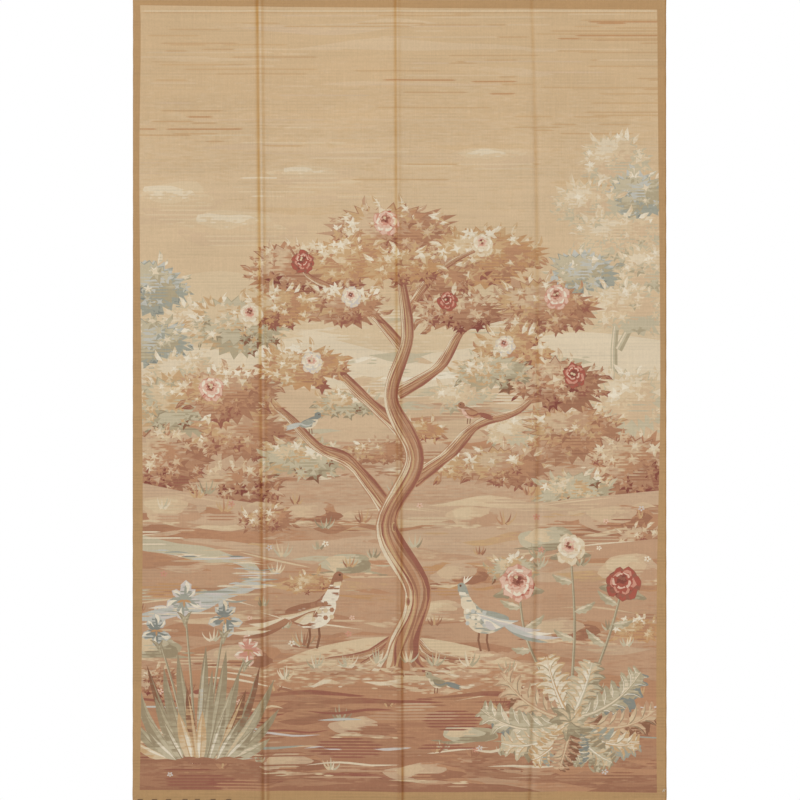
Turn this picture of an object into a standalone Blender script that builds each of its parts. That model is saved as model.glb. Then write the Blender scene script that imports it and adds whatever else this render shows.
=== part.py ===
"""Wall tapestry: one flat-woven cloth with both ends turned to the back in a hem, hung by its top edge.

Metres, +Z up. X runs across the cloth, and its face looks to -Y. The origin is the middle of the top edge, on the
plane of the wall (Y = 0), which the back of the top hem lies against. Three fold creases run from top to bottom.
"""

import math
from collections import namedtuple

import bmesh
import bpy

# Driving dimensions
WIDTH = 1.220
DROP = 1.830
CLOTH = 0.0025  # one layer
HEM = 0.0050  # two layers
HEM_DEPTH = 0.030
HEM_STEP = 0.004  # the height in which a hem's edge thins to one layer
ROW_PITCH = 0.110

# A fold crease. Its place is given at the top and at the bottom, with a sideways bow between them, and its rise
# at the hem, which is held to the wall, and below it. Each flank fades out within its own reach.
Crease = namedtuple("Crease", "shape top bottom bow rise_held rise_free reach_left reach_right")
CREASES = (
    Crease("ridge", -0.321, -0.307, -0.003, 0.0050, 0.0090, 0.060, 0.060),
    Crease("ridge", -0.006, 0.002, 0.000, 0.0045, 0.0070, 0.065, 0.045),
    Crease("valley", 0.301, 0.295, 0.016, 0.0020, 0.0040, 0.060, 0.060),
)
VALLEY_PEAK = 27 / 4  # brings the top of the shoulders beside a valley up to the stated rise
FLANK_STEPS = (0.0, 0.12, 0.35, 0.65, 1.0)  # where columns stand on a flank, as shares of its reach
EDGE_REACH = 0.050  # the strip along a side edge that has columns of its own

# How the cloth hangs free below the top hem
FREE_AT = 0.36  # depth below the top edge at which it hangs quite free
STAND_OFF = 0.006  # from the wall at the bottom
PANEL_SAG = 0.0025  # of each panel, back between its creases
WAVE_HEIGHT = 0.0016
WAVE_ACROSS = 0.52
WAVE_DOWN = 0.94

# A soft slanting trough near the bottom right corner
TROUGH_START = (0.335, -1.600)
TROUGH_END = (0.415, -1.830)
TROUGH_DEPTH = 0.0035
TROUGH_REACH = 0.045

CLOTH_COLOR = (0.53, 0.35, 0.20, 1.0)
CLOTH_ROUGHNESS = 0.92


def smooth(share):
    """0 below 0, 1 above 1, and a soft step between them."""
    share = min(max(share, 0.0), 1.0)
    return share * share * (3 - 2 * share)


def freedom(z):
    """How freely the cloth hangs at this height: 0 in the top hem, and 1 from FREE_AT down."""
    held = HEM_DEPTH + HEM_STEP
    return smooth((-z - held) / (FREE_AT - held))


def crease_place(crease, z):
    """The crease's X at this height."""
    down = -z / DROP
    return crease.top + (crease.bottom - crease.top) * down + crease.bow * 4 * down * (1 - down)


def crease_relief(crease, x, z):
    """How far the crease lifts the cloth off the wall at this point."""
    offset = x - crease_place(crease, z)
    reach = crease.reach_left if offset < 0 else crease.reach_right
    share = abs(offset) / reach
    if share >= 1:
        return 0.0
    rise = crease.rise_held + (crease.rise_free - crease.rise_held) * freedom(z)
    fade = (1 - share) ** 2
    return rise * fade * (VALLEY_PEAK * share if crease.shape == "valley" else 1.0)


def trough_relief(x, z):
    """The soft trough: it lies on a slanting line, and fades in from its upper end."""
    (start_x, start_z), (end_x, end_z) = TROUGH_START, TROUGH_END
    along = (start_z - z) / (start_z - end_z)
    offset = x - (start_x + (end_x - start_x) * along)
    return -TROUGH_DEPTH * smooth(along) * math.exp(-((offset / TROUGH_REACH) ** 2))


def panel_sag(x, z):
    """How far the cloth lies back between two creases, or between a crease and a side edge."""
    seams = [-WIDTH / 2, *(crease_place(crease, z) for crease in CREASES), WIDTH / 2]
    for left, right in zip(seams, seams[1:]):
        if x <= right:
            return -PANEL_SAG * math.sin(math.pi * (x - left) / (right - left)) ** 2
    return 0.0


def relief(x, z):
    """How far the cloth's face stands in front of where it lies flat on the wall, hem and all."""
    hang = STAND_OFF * smooth(-z / DROP) + panel_sag(x, z) + trough_relief(x, z)
    hang += WAVE_HEIGHT * math.sin(math.tau * x / WAVE_ACROSS + 0.7) * math.sin(math.tau * z / WAVE_DOWN)
    return freedom(z) * hang + sum(crease_relief(crease, x, z) for crease in CREASES)


def columns(z):
    """The X of every column of points at this height. One column runs along each crease."""
    places = [-WIDTH / 2, -WIDTH / 2 + EDGE_REACH]
    for crease in CREASES:
        centre = crease_place(crease, z)
        places += [centre - crease.reach_left * step for step in reversed(FLANK_STEPS)]
        places += [centre + crease.reach_right * step for step in FLANK_STEPS[1:]]
    places += [WIDTH / 2 - EDGE_REACH, WIDTH / 2]
    with_middles = [places[0]]
    for left, right in zip(places, places[1:]):
        if right - left > EDGE_REACH:
            with_middles.append((left + right) / 2)
        with_middles.append(right)
    return with_middles


def rows():
    """The Z of every row of points, from the bottom up: both edges of each hem, and even steps between them."""
    first = HEM_DEPTH + HEM_STEP
    steps = round((DROP - 2 * first) / ROW_PITCH)
    free = [first + (DROP - 2 * first) * step / steps for step in range(steps + 1)]
    return [-depth for depth in reversed([0.0, HEM_DEPTH, *free, DROP - HEM_DEPTH, DROP])]


def cloth_material():
    material = bpy.data.materials.new("tapestry_cloth")
    material.use_nodes = True
    shader = material.node_tree.nodes["Principled BSDF"]
    shader.inputs["Base Color"].default_value = CLOTH_COLOR
    shader.inputs["Roughness"].default_value = CLOTH_ROUGHNESS
    shader.inputs["Metallic"].default_value = 0.0
    return material


def make_face(name):
    """The cloth's face as an open sheet: a plain grid whose points are moved to the columns, rows and relief."""
    heights = rows()
    across = len(columns(0.0)) - 1
    up = len(heights) - 1
    shell = bmesh.new()
    bmesh.ops.create_grid(shell, x_segments=across, y_segments=up, size=0.5)
    for vert in shell.verts:
        z = heights[round((vert.co.y + 0.5) * up)]
        x = columns(z)[round((vert.co.x + 0.5) * across)]
        vert.co = (x, -HEM - relief(x, z), z)
    mesh = bpy.data.meshes.new(name)
    shell.to_mesh(mesh)
    shell.free()
    return bpy.data.objects.new(name, mesh)


def thicken(cloth):
    """Gives the sheet its back: two layers in the hems, and one between them."""
    layers = cloth.vertex_groups.new(name="layers")
    for vert in cloth.data.vertices:
        depth = min(-vert.co.z, DROP + vert.co.z)
        in_hem = depth < HEM_DEPTH + HEM_STEP / 2
        layers.add([vert.index], 1.0 if in_hem else CLOTH / HEM, "REPLACE")
    solidify = cloth.modifiers.new("thickness", "SOLIDIFY")
    solidify.thickness = HEM
    solidify.offset = -1.0
    solidify.vertex_group = layers.name


def make_tapestry():
    cloth = make_face("tapestry")
    thicken(cloth)
    cloth.data.materials.append(cloth_material())
    return cloth


def main():
    for leftover in list(bpy.data.objects):
        bpy.data.objects.remove(leftover)
    collection = bpy.data.collections.new("wall_tapestry")
    bpy.context.scene.collection.children.link(collection)
    collection.objects.link(make_tapestry())


main()
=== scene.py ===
"""Wall tapestry: the looks of one flat-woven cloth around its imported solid.

Metres. X runs across the cloth, Z is 0 at its top edge and falls from there, and its face looks to -Y. The
woven picture is a list of flat shapes laid over one another. They are cut into one sheet of triangles, and
it is then hung in the solid's creases and waves, so every shape is woven into the one cloth. The picture is
a garden of no real place.
"""

import math
import random
from collections import defaultdict, namedtuple

import bpy
import numpy as np
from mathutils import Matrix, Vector
from mathutils.bvhtree import BVHTree
from mathutils.geometry import delaunay_2d_cdt

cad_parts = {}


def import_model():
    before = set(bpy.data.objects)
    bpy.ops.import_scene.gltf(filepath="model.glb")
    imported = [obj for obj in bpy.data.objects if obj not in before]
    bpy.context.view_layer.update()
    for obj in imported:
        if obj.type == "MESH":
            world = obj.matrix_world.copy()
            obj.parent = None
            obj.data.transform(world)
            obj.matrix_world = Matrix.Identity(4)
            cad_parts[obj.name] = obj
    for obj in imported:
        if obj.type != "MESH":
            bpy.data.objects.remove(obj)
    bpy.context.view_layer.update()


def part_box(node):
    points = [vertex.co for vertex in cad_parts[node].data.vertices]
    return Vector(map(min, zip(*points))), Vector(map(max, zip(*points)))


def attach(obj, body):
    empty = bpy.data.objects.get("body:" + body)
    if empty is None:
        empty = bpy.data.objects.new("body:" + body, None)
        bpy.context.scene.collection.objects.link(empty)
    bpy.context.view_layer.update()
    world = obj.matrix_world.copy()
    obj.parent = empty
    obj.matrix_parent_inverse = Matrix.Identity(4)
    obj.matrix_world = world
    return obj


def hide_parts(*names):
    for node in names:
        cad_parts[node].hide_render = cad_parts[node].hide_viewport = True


NODE = "tapestry"

# The cloth, as in the solid
CLOTH = 0.0025
HEM = 0.0050
HEM_DEPTH = 0.030
HEM_STEP = 0.004

# A crease as in the solid, with the sharp line that the fold pinched into the yarn: how far it stands out,
# its offset from the middle of the crease at both ends, and how much further over it bows between them
Crease = namedtuple(
    "Crease", "shape top bottom bow rise_held rise_free reach_left reach_right pinch line line_bow"
)
CREASES = (
    Crease("ridge", -0.321, -0.307, -0.003, 0.0050, 0.0090, 0.060, 0.060, 0.0018, 0.0012, 0.0045),
    Crease("ridge", -0.006, 0.002, 0.000, 0.0045, 0.0070, 0.065, 0.045, 0.0012, 0.0006, 0.0000),
    Crease("valley", 0.301, 0.295, 0.016, 0.0020, 0.0040, 0.060, 0.060, -0.0016, 0.0008, 0.0012),
)
VALLEY_PEAK = 27 / 4  # brings the top of the shoulders beside a valley up to the stated rise
PINCH_REACH = 0.0034
PINCH_HELD = 0.5  # the share of a ridge's pinched line that shows in the top hem

# How the cloth hangs free below the top hem, as in the solid
FREE_AT = 0.36
STAND_OFF = 0.006
PANEL_SAG = 0.0025
WAVE_HEIGHT = 0.0016
WAVE_ACROSS = 0.52
WAVE_DOWN = 0.94
WAVE_SHIFT = 0.7
TROUGH_START = (0.335, -1.600)
TROUGH_END = (0.415, -1.830)
TROUGH_DEPTH = 0.0035
TROUGH_REACH = 0.045

# Painted shade and painted highlight along the creases, which stand in for how the folds catch the light:
# each line's offset from its crease's sharp line, its reach to both sides, and how much lighter (painted
# highlight) or darker (painted shade) it paints the yarn in the upper and in the lower part of the cloth
PaintedFoldLine = namedtuple("PaintedFoldLine", "crease offset reach above below")
PAINTED_FOLD_LINES = (
    PaintedFoldLine(0, -0.0054, 0.0048, -0.32, -0.40),
    PaintedFoldLine(0, 0.0000, 0.0026, 0.18, 0.22),
    PaintedFoldLine(0, 0.0064, 0.0038, -0.14, -0.21),
    PaintedFoldLine(1, -0.0042, 0.0042, -0.25, -0.14),
    PaintedFoldLine(1, 0.0000, 0.0024, 0.12, 0.08),
    PaintedFoldLine(1, 0.0042, 0.0042, -0.08, -0.44),
    PaintedFoldLine(2, -0.0005, 0.0042, -0.12, -0.20),
    PaintedFoldLine(2, 0.0085, 0.0070, 0.01, 0.08),
)
FOLD_CHANGE = (0.35, 0.85)  # the shares of the drop between which a line goes from above to below
# The painted crease shade and highlight are tinted: each channel's share of them, given below
FOLD_SHADE_TINTS = (  # how much of it red, green and blue take, in the upper and in the lower part
    (0.50, 1.00, 1.80),
    (0.64, 1.00, 1.40),
)

# The sheet's columns and rows, which carry the creases and waves. A crease's columns are given from its line.
CREASE_LINES = (-0.009, -0.004, 0.0, 0.004, 0.009)  # cut into the sheet from top to bottom
CREASE_COLUMNS = (-0.060, -0.036, -0.019, *CREASE_LINES, 0.019, 0.036, 0.060)
PANEL_COLUMN = 0.034
ROW_STEP = 0.0300
SELVEDGE_WOBBLE = 0.0005  # how far the side edges wander inwards
FACE_SLACK = 0.00043  # how far a cut may leave its shape's outline
LONGEST = 0.032  # of a cut's edge
BACK_SLACK = 0.0025
BACK_LEAST = 0.0070  # square metres: smaller shapes don't show on the back

# The weave
WEFT = 0.0035  # the height of one woven row of the picture
WARP_RIB = 0.0017
HATCHING = (0.030, 0.085)  # how much darker every other row of a patch is, at the top and at the bottom
SOFTNESS = 1.6  # how much softer a gradient's hatching is for each metre of its length
SOFT_LIMITS = (0.10, 0.42)
SELVEDGE = (0.0042, 0.0024)  # in from the right edge: where its darker warps begin, and where they are full
NOISE_RANGE = (0.28, 0.72)  # where nearly all values of a noise lie
FOLD_WANDER = (0.75, 1.25)  # how much a fold line's strength changes along it
ROUGHNESS = (0.82, 0.96)
SPECULAR = 0.18
SHEEN = 0.12
SHEEN_ROUGHNESS = 0.6
BUMP_STRENGTH = 0.5
BUMP_DEPTH = 0.0004

# Where the parts of the mesh lie on the map for a bake, across and up. The back's part is mirrored.
MAP_FACE = (0.002, 0.654)
MAP_RIM = (0.658, 0.666)
MAP_BACK = (0.998, 0.670)
MAP_UP = (0.002, 0.998)

# Sewing thread
THREAD = 0.00055
TACKING = 0.00095
STITCH_STEP = 0.012
STITCH_INSET = 0.010  # of the first stitch from a side edge
TACKS = 7
TACK_FIRST = -0.598  # the left end of the first tacking stitch
TACK_STEP = 0.0332
TACK_LONG = 0.013
TACK_RISE = 0.0030  # above the bottom edge

# The studio
CAMERA_DISTANCE = 5.0
CAMERA_RIGHT = 0.0010  # of the cloth's middle
CLOSER = 1.001  # the cloth's height over the picture's
FLOOR_BELOW = 0.285  # the cloth's foot
FLOOR_HALF = 3.0
FLOOR_FRONT = -5.0
FLOOR_BACK = 1.45
FLOOR_COLOR = (0.86, 0.85, 0.83, 1.0)
WORLD_LIGHT = 0.60
Lamp = namedtuple("Lamp", "name place size power")
LAMPS = (
    Lamp("key", (-2.3, -3.4, 1.2), (1.8, 1.8), 62),
    Lamp("fill", (2.3, -3.6, -1.3), (1.4, 1.2), 44),
)

# Dyed wool, as red, green and blue of 255
YARNS = {
    "band": (176, 140, 97),
    "selvedge": (160, 119, 66),
    "sky": (198, 169, 131),
    "pale sky": (202, 176, 141),
    "warm sky": (193, 160, 119),
    "honey": (191, 157, 116),
    "amber": (184, 141, 99),
    "sand": (199, 172, 139),
    "straw": (205, 182, 148),
    "cream": (212, 195, 167),
    "ivory": (220, 208, 186),
    "sage": (187, 174, 146),
    "moss": (169, 155, 126),
    "olive": (150, 134, 106),
    "teal": (154, 153, 138),
    "slate": (130, 131, 122),
    "lilac": (197, 187, 178),
    "mist": (185, 182, 171),
    "blush": (210, 175, 153),
    "rose": (195, 139, 118),
    "red": (162, 86, 70),
    "maroon": (128, 71, 59),
    "wine": (146, 92, 74),
    "buff": (191, 161, 131),
    "tan": (183, 146, 115),
    "rust": (177, 132, 99),
    "earth": (170, 127, 97),
    "clay": (164, 119, 90),
    "brick": (154, 108, 82),
    "umber": (134, 93, 69),
    "brown": (102, 68, 49),
}


def linear(value):
    """One sRGB channel of 255 as linear light."""
    share = value / 255
    return share / 12.92 if share <= 0.04045 else ((share + 0.055) / 1.055) ** 2.4


def yarn_color(name):
    """A yarn's colour in linear light, and quite opaque."""
    return (*(linear(channel) for channel in YARNS[name]), 1.0)


def smooth(share):
    """0 below 0, 1 above 1, and a soft step between them."""
    share = np.clip(share, 0.0, 1.0)
    return share * share * (3 - 2 * share)


# How the cloth hangs. These work on numbers and on whole arrays of them.


def freedom(z):
    """How freely the cloth hangs at this height: 0 in the top hem, and 1 from FREE_AT down."""
    held = HEM_DEPTH + HEM_STEP
    return smooth((-z - held) / (FREE_AT - held))


def crease_place(crease, z, drop):
    """The X of the crease's middle at this height."""
    down = -z / drop
    return crease.top + (crease.bottom - crease.top) * down + crease.bow * 4 * down * (1 - down)


def line_place(crease, z, drop):
    """The X of the crease's sharp line at this height."""
    down = -z / drop
    return crease_place(crease, z, drop) + crease.line + crease.line_bow * 4 * down * (1 - down)


def crease_relief(crease, x, z, drop):
    """The crease's broad flanks, as in the solid, and its sharp pinched line."""
    offset = x - crease_place(crease, z, drop)
    reach = np.where(offset < 0, crease.reach_left, crease.reach_right)
    share = np.clip(np.abs(offset) / reach, 0.0, 1.0)
    rise = crease.rise_held + (crease.rise_free - crease.rise_held) * freedom(z)
    flank = rise * (1 - share) ** 2 * (VALLEY_PEAK * share if crease.shape == "valley" else 1.0)
    held = 0.0 if crease.shape == "valley" else PINCH_HELD
    line = np.exp(-(((x - line_place(crease, z, drop)) / PINCH_REACH) ** 2))
    return flank + crease.pinch * (held + (1 - held) * freedom(z)) * line


def trough_relief(x, z):
    """The soft slanting trough near the lower right corner."""
    (start_x, start_z), (end_x, end_z) = TROUGH_START, TROUGH_END
    along = (start_z - z) / (start_z - end_z)
    offset = x - (start_x + (end_x - start_x) * along)
    return -TROUGH_DEPTH * smooth(along) * np.exp(-((offset / TROUGH_REACH) ** 2))


def panel_sag(x, z, width, drop):
    """How far the cloth lies back between two creases, or between a crease and a side edge."""
    seams = [-width / 2, *(crease_place(crease, z, drop) for crease in CREASES), width / 2]
    sag = 0.0
    for left, right in zip(seams, seams[1:]):
        share = np.clip((x - left) / (right - left), 0.0, 1.0)
        sag = sag - PANEL_SAG * np.sin(math.pi * share) ** 2
    return sag


def face_depth(x, z, width, drop):
    """The Y of the cloth's face at this place."""
    hang = STAND_OFF * smooth(-z / drop) + panel_sag(x, z, width, drop) + trough_relief(x, z)
    across = np.sin(math.tau * x / WAVE_ACROSS + WAVE_SHIFT)
    down = np.sin(math.tau * z / WAVE_DOWN)
    creases = sum(crease_relief(crease, x, z, drop) for crease in CREASES)
    return -HEM - freedom(z) * (hang + WAVE_HEIGHT * across * down) - creases


def thickness(z, drop):
    """Two layers in the hems, and one between them."""
    depth = np.minimum(-z, drop + z)
    thin = smooth((depth - HEM_DEPTH) / HEM_STEP)
    return HEM + (CLOTH - HEM) * thin


# Outlines. A point is (x, z), and an outline is a closed list of points.


def curve(points, steps=6, closed=False):
    """A smooth line through the points."""
    count = len(points)
    line = []
    for index in range(count if closed else count - 1):
        if closed:
            before, first, last, after = (points[(index + k) % count] for k in (-1, 0, 1, 2))
        else:
            before, first = points[max(index - 1, 0)], points[index]
            last, after = points[index + 1], points[min(index + 2, count - 1)]
        for step in range(steps):
            t = step / steps
            line.append(tuple(
                b + 0.5 * t * (c - a + t * (2 * a - 5 * b + 4 * c - d + t * (3 * b - a - 3 * c + d)))
                for a, b, c, d in zip(before, first, last, after)
            ))
    if not closed:
        line.append(tuple(points[-1]))
    return line


def oval(centre, across, up, angle):
    """The point at this angle around an oval."""
    return (centre[0] + across * math.cos(angle), centre[1] + up * math.sin(angle))


def polar(centre, angle, radius, squash=1.0):
    """The point at this angle and distance from the centre. squash scales its height."""
    return oval(centre, radius, radius * squash, angle)


def between(first, last, share):
    """The point at this share of the way from the first to the last."""
    return (first[0] + (last[0] - first[0]) * share, first[1] + (last[1] - first[1]) * share)


def side_of(line, index, offset):
    """The point beside a line's point, square to the line. A positive offset is to its left."""
    ahead = line[min(index + 1, len(line) - 1)]
    behind = line[max(index - 1, 0)]
    dx, dz = ahead[0] - behind[0], ahead[1] - behind[1]
    length = math.hypot(dx, dz) or 1.0
    return (line[index][0] - dz / length * offset, line[index][1] + dx / length * offset)


def strip(line, half_width, low=-1.0, high=1.0):
    """A strip along a line, between the shares low and high of its half width, which varies along it."""
    last = len(line) - 1
    widths = [half_width(index / last) for index in range(last + 1)]
    one = [side_of(line, index, widths[index] * high) for index in range(last + 1)]
    other = [side_of(line, index, widths[index] * low) for index in range(last + 1)]
    return one + other[::-1]


def taper(thick, left=0.0):
    """The half width of a line that thins from thick to the share left of it at its end."""
    return lambda t: thick * (left + (1 - left) * (1 - t) ** 0.8)


def spindle(thick):
    """The half width of a line that is pointed at both ends."""
    return lambda t: thick * math.sin(math.pi * t) ** 0.8 if 0 < t < 1 else 0.0


def bend_line(base, tip, bend, shares):
    """Points at these shares of a line from base to tip that bows sideways by bend times its length."""
    dx, dz = tip[0] - base[0], tip[1] - base[1]
    line = []
    for t in shares:
        bow = bend * 4 * t * (1 - t)
        line.append((base[0] + dx * t - dz * bow, base[1] + dz * t + dx * bow))
    return line


def even(steps):
    """The shares from 0 to 1 in even steps."""
    return [step / steps for step in range(steps + 1)]


def leaf_body(t):
    """Half a leaf's width at this share of its length, for a leaf that is 2 wide."""
    return math.sin(math.pi * t ** 0.8) ** 0.8 if 0 < t < 1 else 0.0


def blade(base, tip, width, bend=0.0, low=-1.0, high=1.0, steps=5):
    """A smooth leaf, or the part of it between the shares low and high of its half width."""
    return strip(bend_line(base, tip, bend, even(steps)), lambda t: width / 2 * leaf_body(t), low, high)


def toothed(base, tip, width, bend, teeth, depth):
    """A leaf with teeth that point to its tip."""
    shares, halves = [0.0], [0.0]
    for tooth in range(teeth):
        for step, keep in ((0.70, 1.0), (1.0, 1.0 - depth)):
            share = (tooth + step) / teeth
            shares.append(share)
            halves.append(width / 2 * leaf_body(share) * keep)
    line = bend_line(base, tip, bend, shares)
    one = [side_of(line, index, half) for index, half in enumerate(halves)]
    other = [side_of(line, index, -half) for index, half in enumerate(halves)]
    return one + other[::-1]


def swells(rng, parts):
    """A random unevenness around a ring: it gives the reach at each angle, as a share near 1."""
    waves = [(number, size, rng.uniform(0, math.tau)) for number, size in parts]
    return lambda angle: 1 + sum(size * math.sin(number * angle + start) for number, size, start in waves)


def leafy_mass(centre, across, up, leaves, rng):
    """A mass of foliage: an uneven oval whose rim is a row of pointed leaves."""
    depth = 0.16
    swell = swells(rng, ((2, 0.07), (3, 0.09), (5, 0.06)))
    outline = []
    for index in range(leaves):
        angle = math.tau * (index + rng.uniform(-0.2, 0.2)) / leaves
        for turn, reach in ((0.0, 1 - depth), (0.42, 1 + depth * rng.uniform(0.2, 1.0))):
            around = angle + turn * math.tau / leaves
            share = swell(angle) * reach
            outline.append(oval(centre, across * share, up * share, around))
    return outline


def soft_mass(centre, across, up, steps, rng, depth=0.10):
    """A soft rounded mass, as of cloud, bush or petal."""
    swell = swells(rng, ((2, depth * 0.6), (3, depth), (5, depth * 0.7)))
    outline = []
    for index in range(steps):
        angle = math.tau * index / steps
        share = swell(angle)
        outline.append(oval(centre, across * share, up * share, angle))
    return outline


def leaf_star(centre, radius, lobes, turn, rng, curved=True):
    """A cluster of leaves seen end on: a star of pointed lobes."""
    lobe = ((0.0, 0.34), (0.30, 0.74), (0.52, 1.0)) if curved else ((0.0, 0.42), (0.48, 1.0))
    outline = []
    for index in range(lobes):
        angle = turn + math.tau * index / lobes
        reach = radius * rng.uniform(0.75, 1.2)
        for step, share in lobe:
            outline.append(polar(centre, angle + step * math.tau / lobes, reach * share, 0.85))
    return outline


def pick(rng, choices):
    return choices[rng.randrange(len(choices))]


Shape = namedtuple("Shape", "outline yarn_a yarn_b start end")
SKY = Shape((), "sky", "pale sky", (0.0, -0.05), (0.0, -0.60))  # the web under all other shapes


class Picture:
    """The woven picture: flat shapes in the order in which they lie over one another."""

    def __init__(self):
        self.shapes = []

    def lay(self, outline, yarn_a, yarn_b=None, start=(0.0, 0.0), end=(0.0, 1.0)):
        """Adds a shape. From start to end its first yarn gives way to its second in hatched rows."""
        area = outline_area(outline)
        if abs(area) < 1e-6:
            return
        ordered = outline if area > 0 else outline[::-1]
        self.shapes.append(Shape(ordered, yarn_a, yarn_b or yarn_a, start, end))

    def bar(self, left, right, z, yarn):
        """One hatch mark: a bar with pointed ends that fills one of the picture's rows."""
        if right - left < 0.006:
            return
        middle = -(round(-z / WEFT) + 0.5) * WEFT
        high = WEFT / 2
        point = min(0.012, (right - left) / 3)
        self.lay([
            (left, middle), (left + point, middle - high), (right - point, middle - high),
            (right, middle), (right - point, middle + high), (left + point, middle + high),
        ], yarn)

    def hatch(self, centre, across, up, yarn, rng, every=2, ragged=0.3, share=0.85):
        """Bars on every second row or so of an oval, with ragged ends."""
        rows = int(up / WEFT / every)
        for row in range(-rows, rows + 1):
            if rng.random() > share:
                continue
            z = centre[1] + row * WEFT * every
            half = across * math.sqrt(max(0.0, 1 - (row / (rows + 0.5)) ** 2))
            left = centre[0] - half * (1 + rng.uniform(-ragged, ragged))
            right = centre[0] + half * (1 + rng.uniform(-ragged, ragged))
            self.bar(left, right, z, yarn)

    def drift(self, centre, across, up, yarn_a, rng, yarn_b=None, fringe=2):
        """A long bank of colour with wavy sides and pointed ends, and a few hatch marks beside each end."""
        steps = 6 + int(across * 24)
        phase = rng.uniform(0, math.tau)
        tilt = rng.uniform(-0.5, 0.5) * up
        top, bottom = [], []
        for t in even(steps):
            x = centre[0] + across * (2 * t - 1)
            body = up * math.sin(math.pi * t) ** 0.7 if 0 < t < 1 else 0.0
            middle = centre[1] + tilt * (2 * t - 1) + up * 0.45 * math.sin(phase + 5 * t)
            top.append((x, middle + body * (0.75 + 0.35 * math.sin(phase * 2 + 9 * t))))
            bottom.append((x, middle - body * (0.75 + 0.35 * math.sin(phase * 3 + 7 * t))))
        left, right = (centre[0] - across, centre[1]), (centre[0] + across, centre[1])
        self.lay(top + bottom[-2:0:-1], yarn_a, yarn_b, left, right)
        for _ in range(fringe):
            side = pick(rng, (-1, 1))
            x = centre[0] + side * across * rng.uniform(0.7, 1.1)
            half = across * rng.uniform(0.10, 0.25)
            z = centre[1] + rng.uniform(-1.2, 1.2) * up
            self.bar(x - half, x + half, z, pick(rng, (yarn_a, yarn_b or yarn_a)))

    def dot(self, centre, radius, yarn, sides=6, squash=1.0):
        """A small round or oval spot."""
        self.lay([polar(centre, math.tau * step / sides, radius, squash) for step in range(sides)], yarn)

    def line(self, points, thick, yarn, steps=4):
        """A thin line that is pointed at both ends."""
        self.lay(strip(curve(points, steps), spindle(thick)), yarn)

    def leaf(self, base, tip, width, yarns, bend=0.0, teeth=0):
        """A leaf: the blade, its lit half unless it is tiny, and a rib if it is wide.

        yarns is its three yarns from dark to light.
        """
        dark, middle, light = yarns
        small = math.dist(base, tip) < 0.040
        if teeth:
            self.lay(toothed(base, tip, width, bend, teeth, 0.34), middle, dark, base, tip)
        else:
            self.lay(blade(base, tip, width, bend, steps=3 if small else 5), middle, dark, base, tip)
        if math.dist(base, tip) < 0.022:
            return
        lit = 1.0 if tip[0] > base[0] else -1.0
        low, high = sorted((0.12 * lit, 0.72 * lit))
        inner = between(base, tip, 0.06), between(base, tip, 0.93)
        self.lay(blade(*inner, width, bend, low, high, 2 if small else 4), light, middle, base, tip)
        if width > 0.022:
            rib = bend_line(between(base, tip, 0.02), between(base, tip, 0.9), bend, even(5))
            self.lay(strip(rib, taper(0.0014, 0.4)), dark)


def outline_area(outline):
    """The area that an outline encloses, negative where it runs clockwise."""
    return sum(a[0] * b[1] - b[0] * a[1] for a, b in zip(outline, outline[1:] + outline[:1])) / 2


# The picture's parts, from the far sky to the border


def weave_sky(picture, half):
    """Near smooth gold, with drifts of fine warm or pale rows, and two long rows under the top border."""
    rng = random.Random(11)
    drifts = (
        # centre x, centre z, spread x, spread z, how many, length, yarns
        (0.52, -0.070, 0.09, 0.030, 13, 0.34, ("honey", "warm sky", "amber")),
        (0.57, -0.190, 0.05, 0.075, 13, 0.24, ("honey", "warm sky", "warm sky")),
        (0.28, -0.110, 0.14, 0.030, 8, 0.20, ("warm sky", "honey")),
        (-0.38, -0.110, 0.16, 0.060, 13, 0.20, ("warm sky", "honey")),
        (0.10, -0.190, 0.16, 0.024, 9, 0.16, ("warm sky", "amber", "honey")),
        (0.40, -0.290, 0.12, 0.030, 7, 0.16, ("honey", "warm sky")),
        (-0.50, -0.290, 0.08, 0.040, 9, 0.16, ("amber", "warm sky", "honey")),
        (-0.10, -0.330, 0.30, 0.050, 12, 0.24, ("straw", "pale sky")),
        (0.05, -0.060, 0.45, 0.030, 10, 0.26, ("pale sky", "warm sky")),
        (-0.30, -0.440, 0.22, 0.050, 10, 0.20, ("straw", "cream")),
    )
    for x, z, spread_x, spread_z, count, length, yarns in drifts:
        for _ in range(count):
            middle = x + rng.uniform(-1, 1) * spread_x
            long = length / 2 * rng.uniform(0.2, 1.0) ** 1.5 + 0.012
            picture.bar(middle - long, middle + long, z + rng.uniform(-1, 1) * spread_z, pick(rng, yarns))
    for _ in range(12):
        centre = (rng.uniform(-half, half), rng.uniform(-0.55, -0.03))
        picture.drift(centre, rng.uniform(0.15, 0.35), rng.uniform(0.006, 0.016),
                      pick(rng, ("pale sky", "sand", "sky")), rng, "pale sky")
    for _ in range(60):
        middle, long = rng.uniform(-half, half), rng.uniform(0.03, 0.16)
        z = rng.uniform(-0.50, -0.03)
        picture.bar(middle - long, middle + long, z, pick(rng, ("pale sky", "sand", "warm sky")))
    picture.bar(-half + 0.018, half - 0.02, -0.0240, "straw")
    picture.bar(-half + 0.018, half - 0.02, -0.0285, "warm sky")


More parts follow.
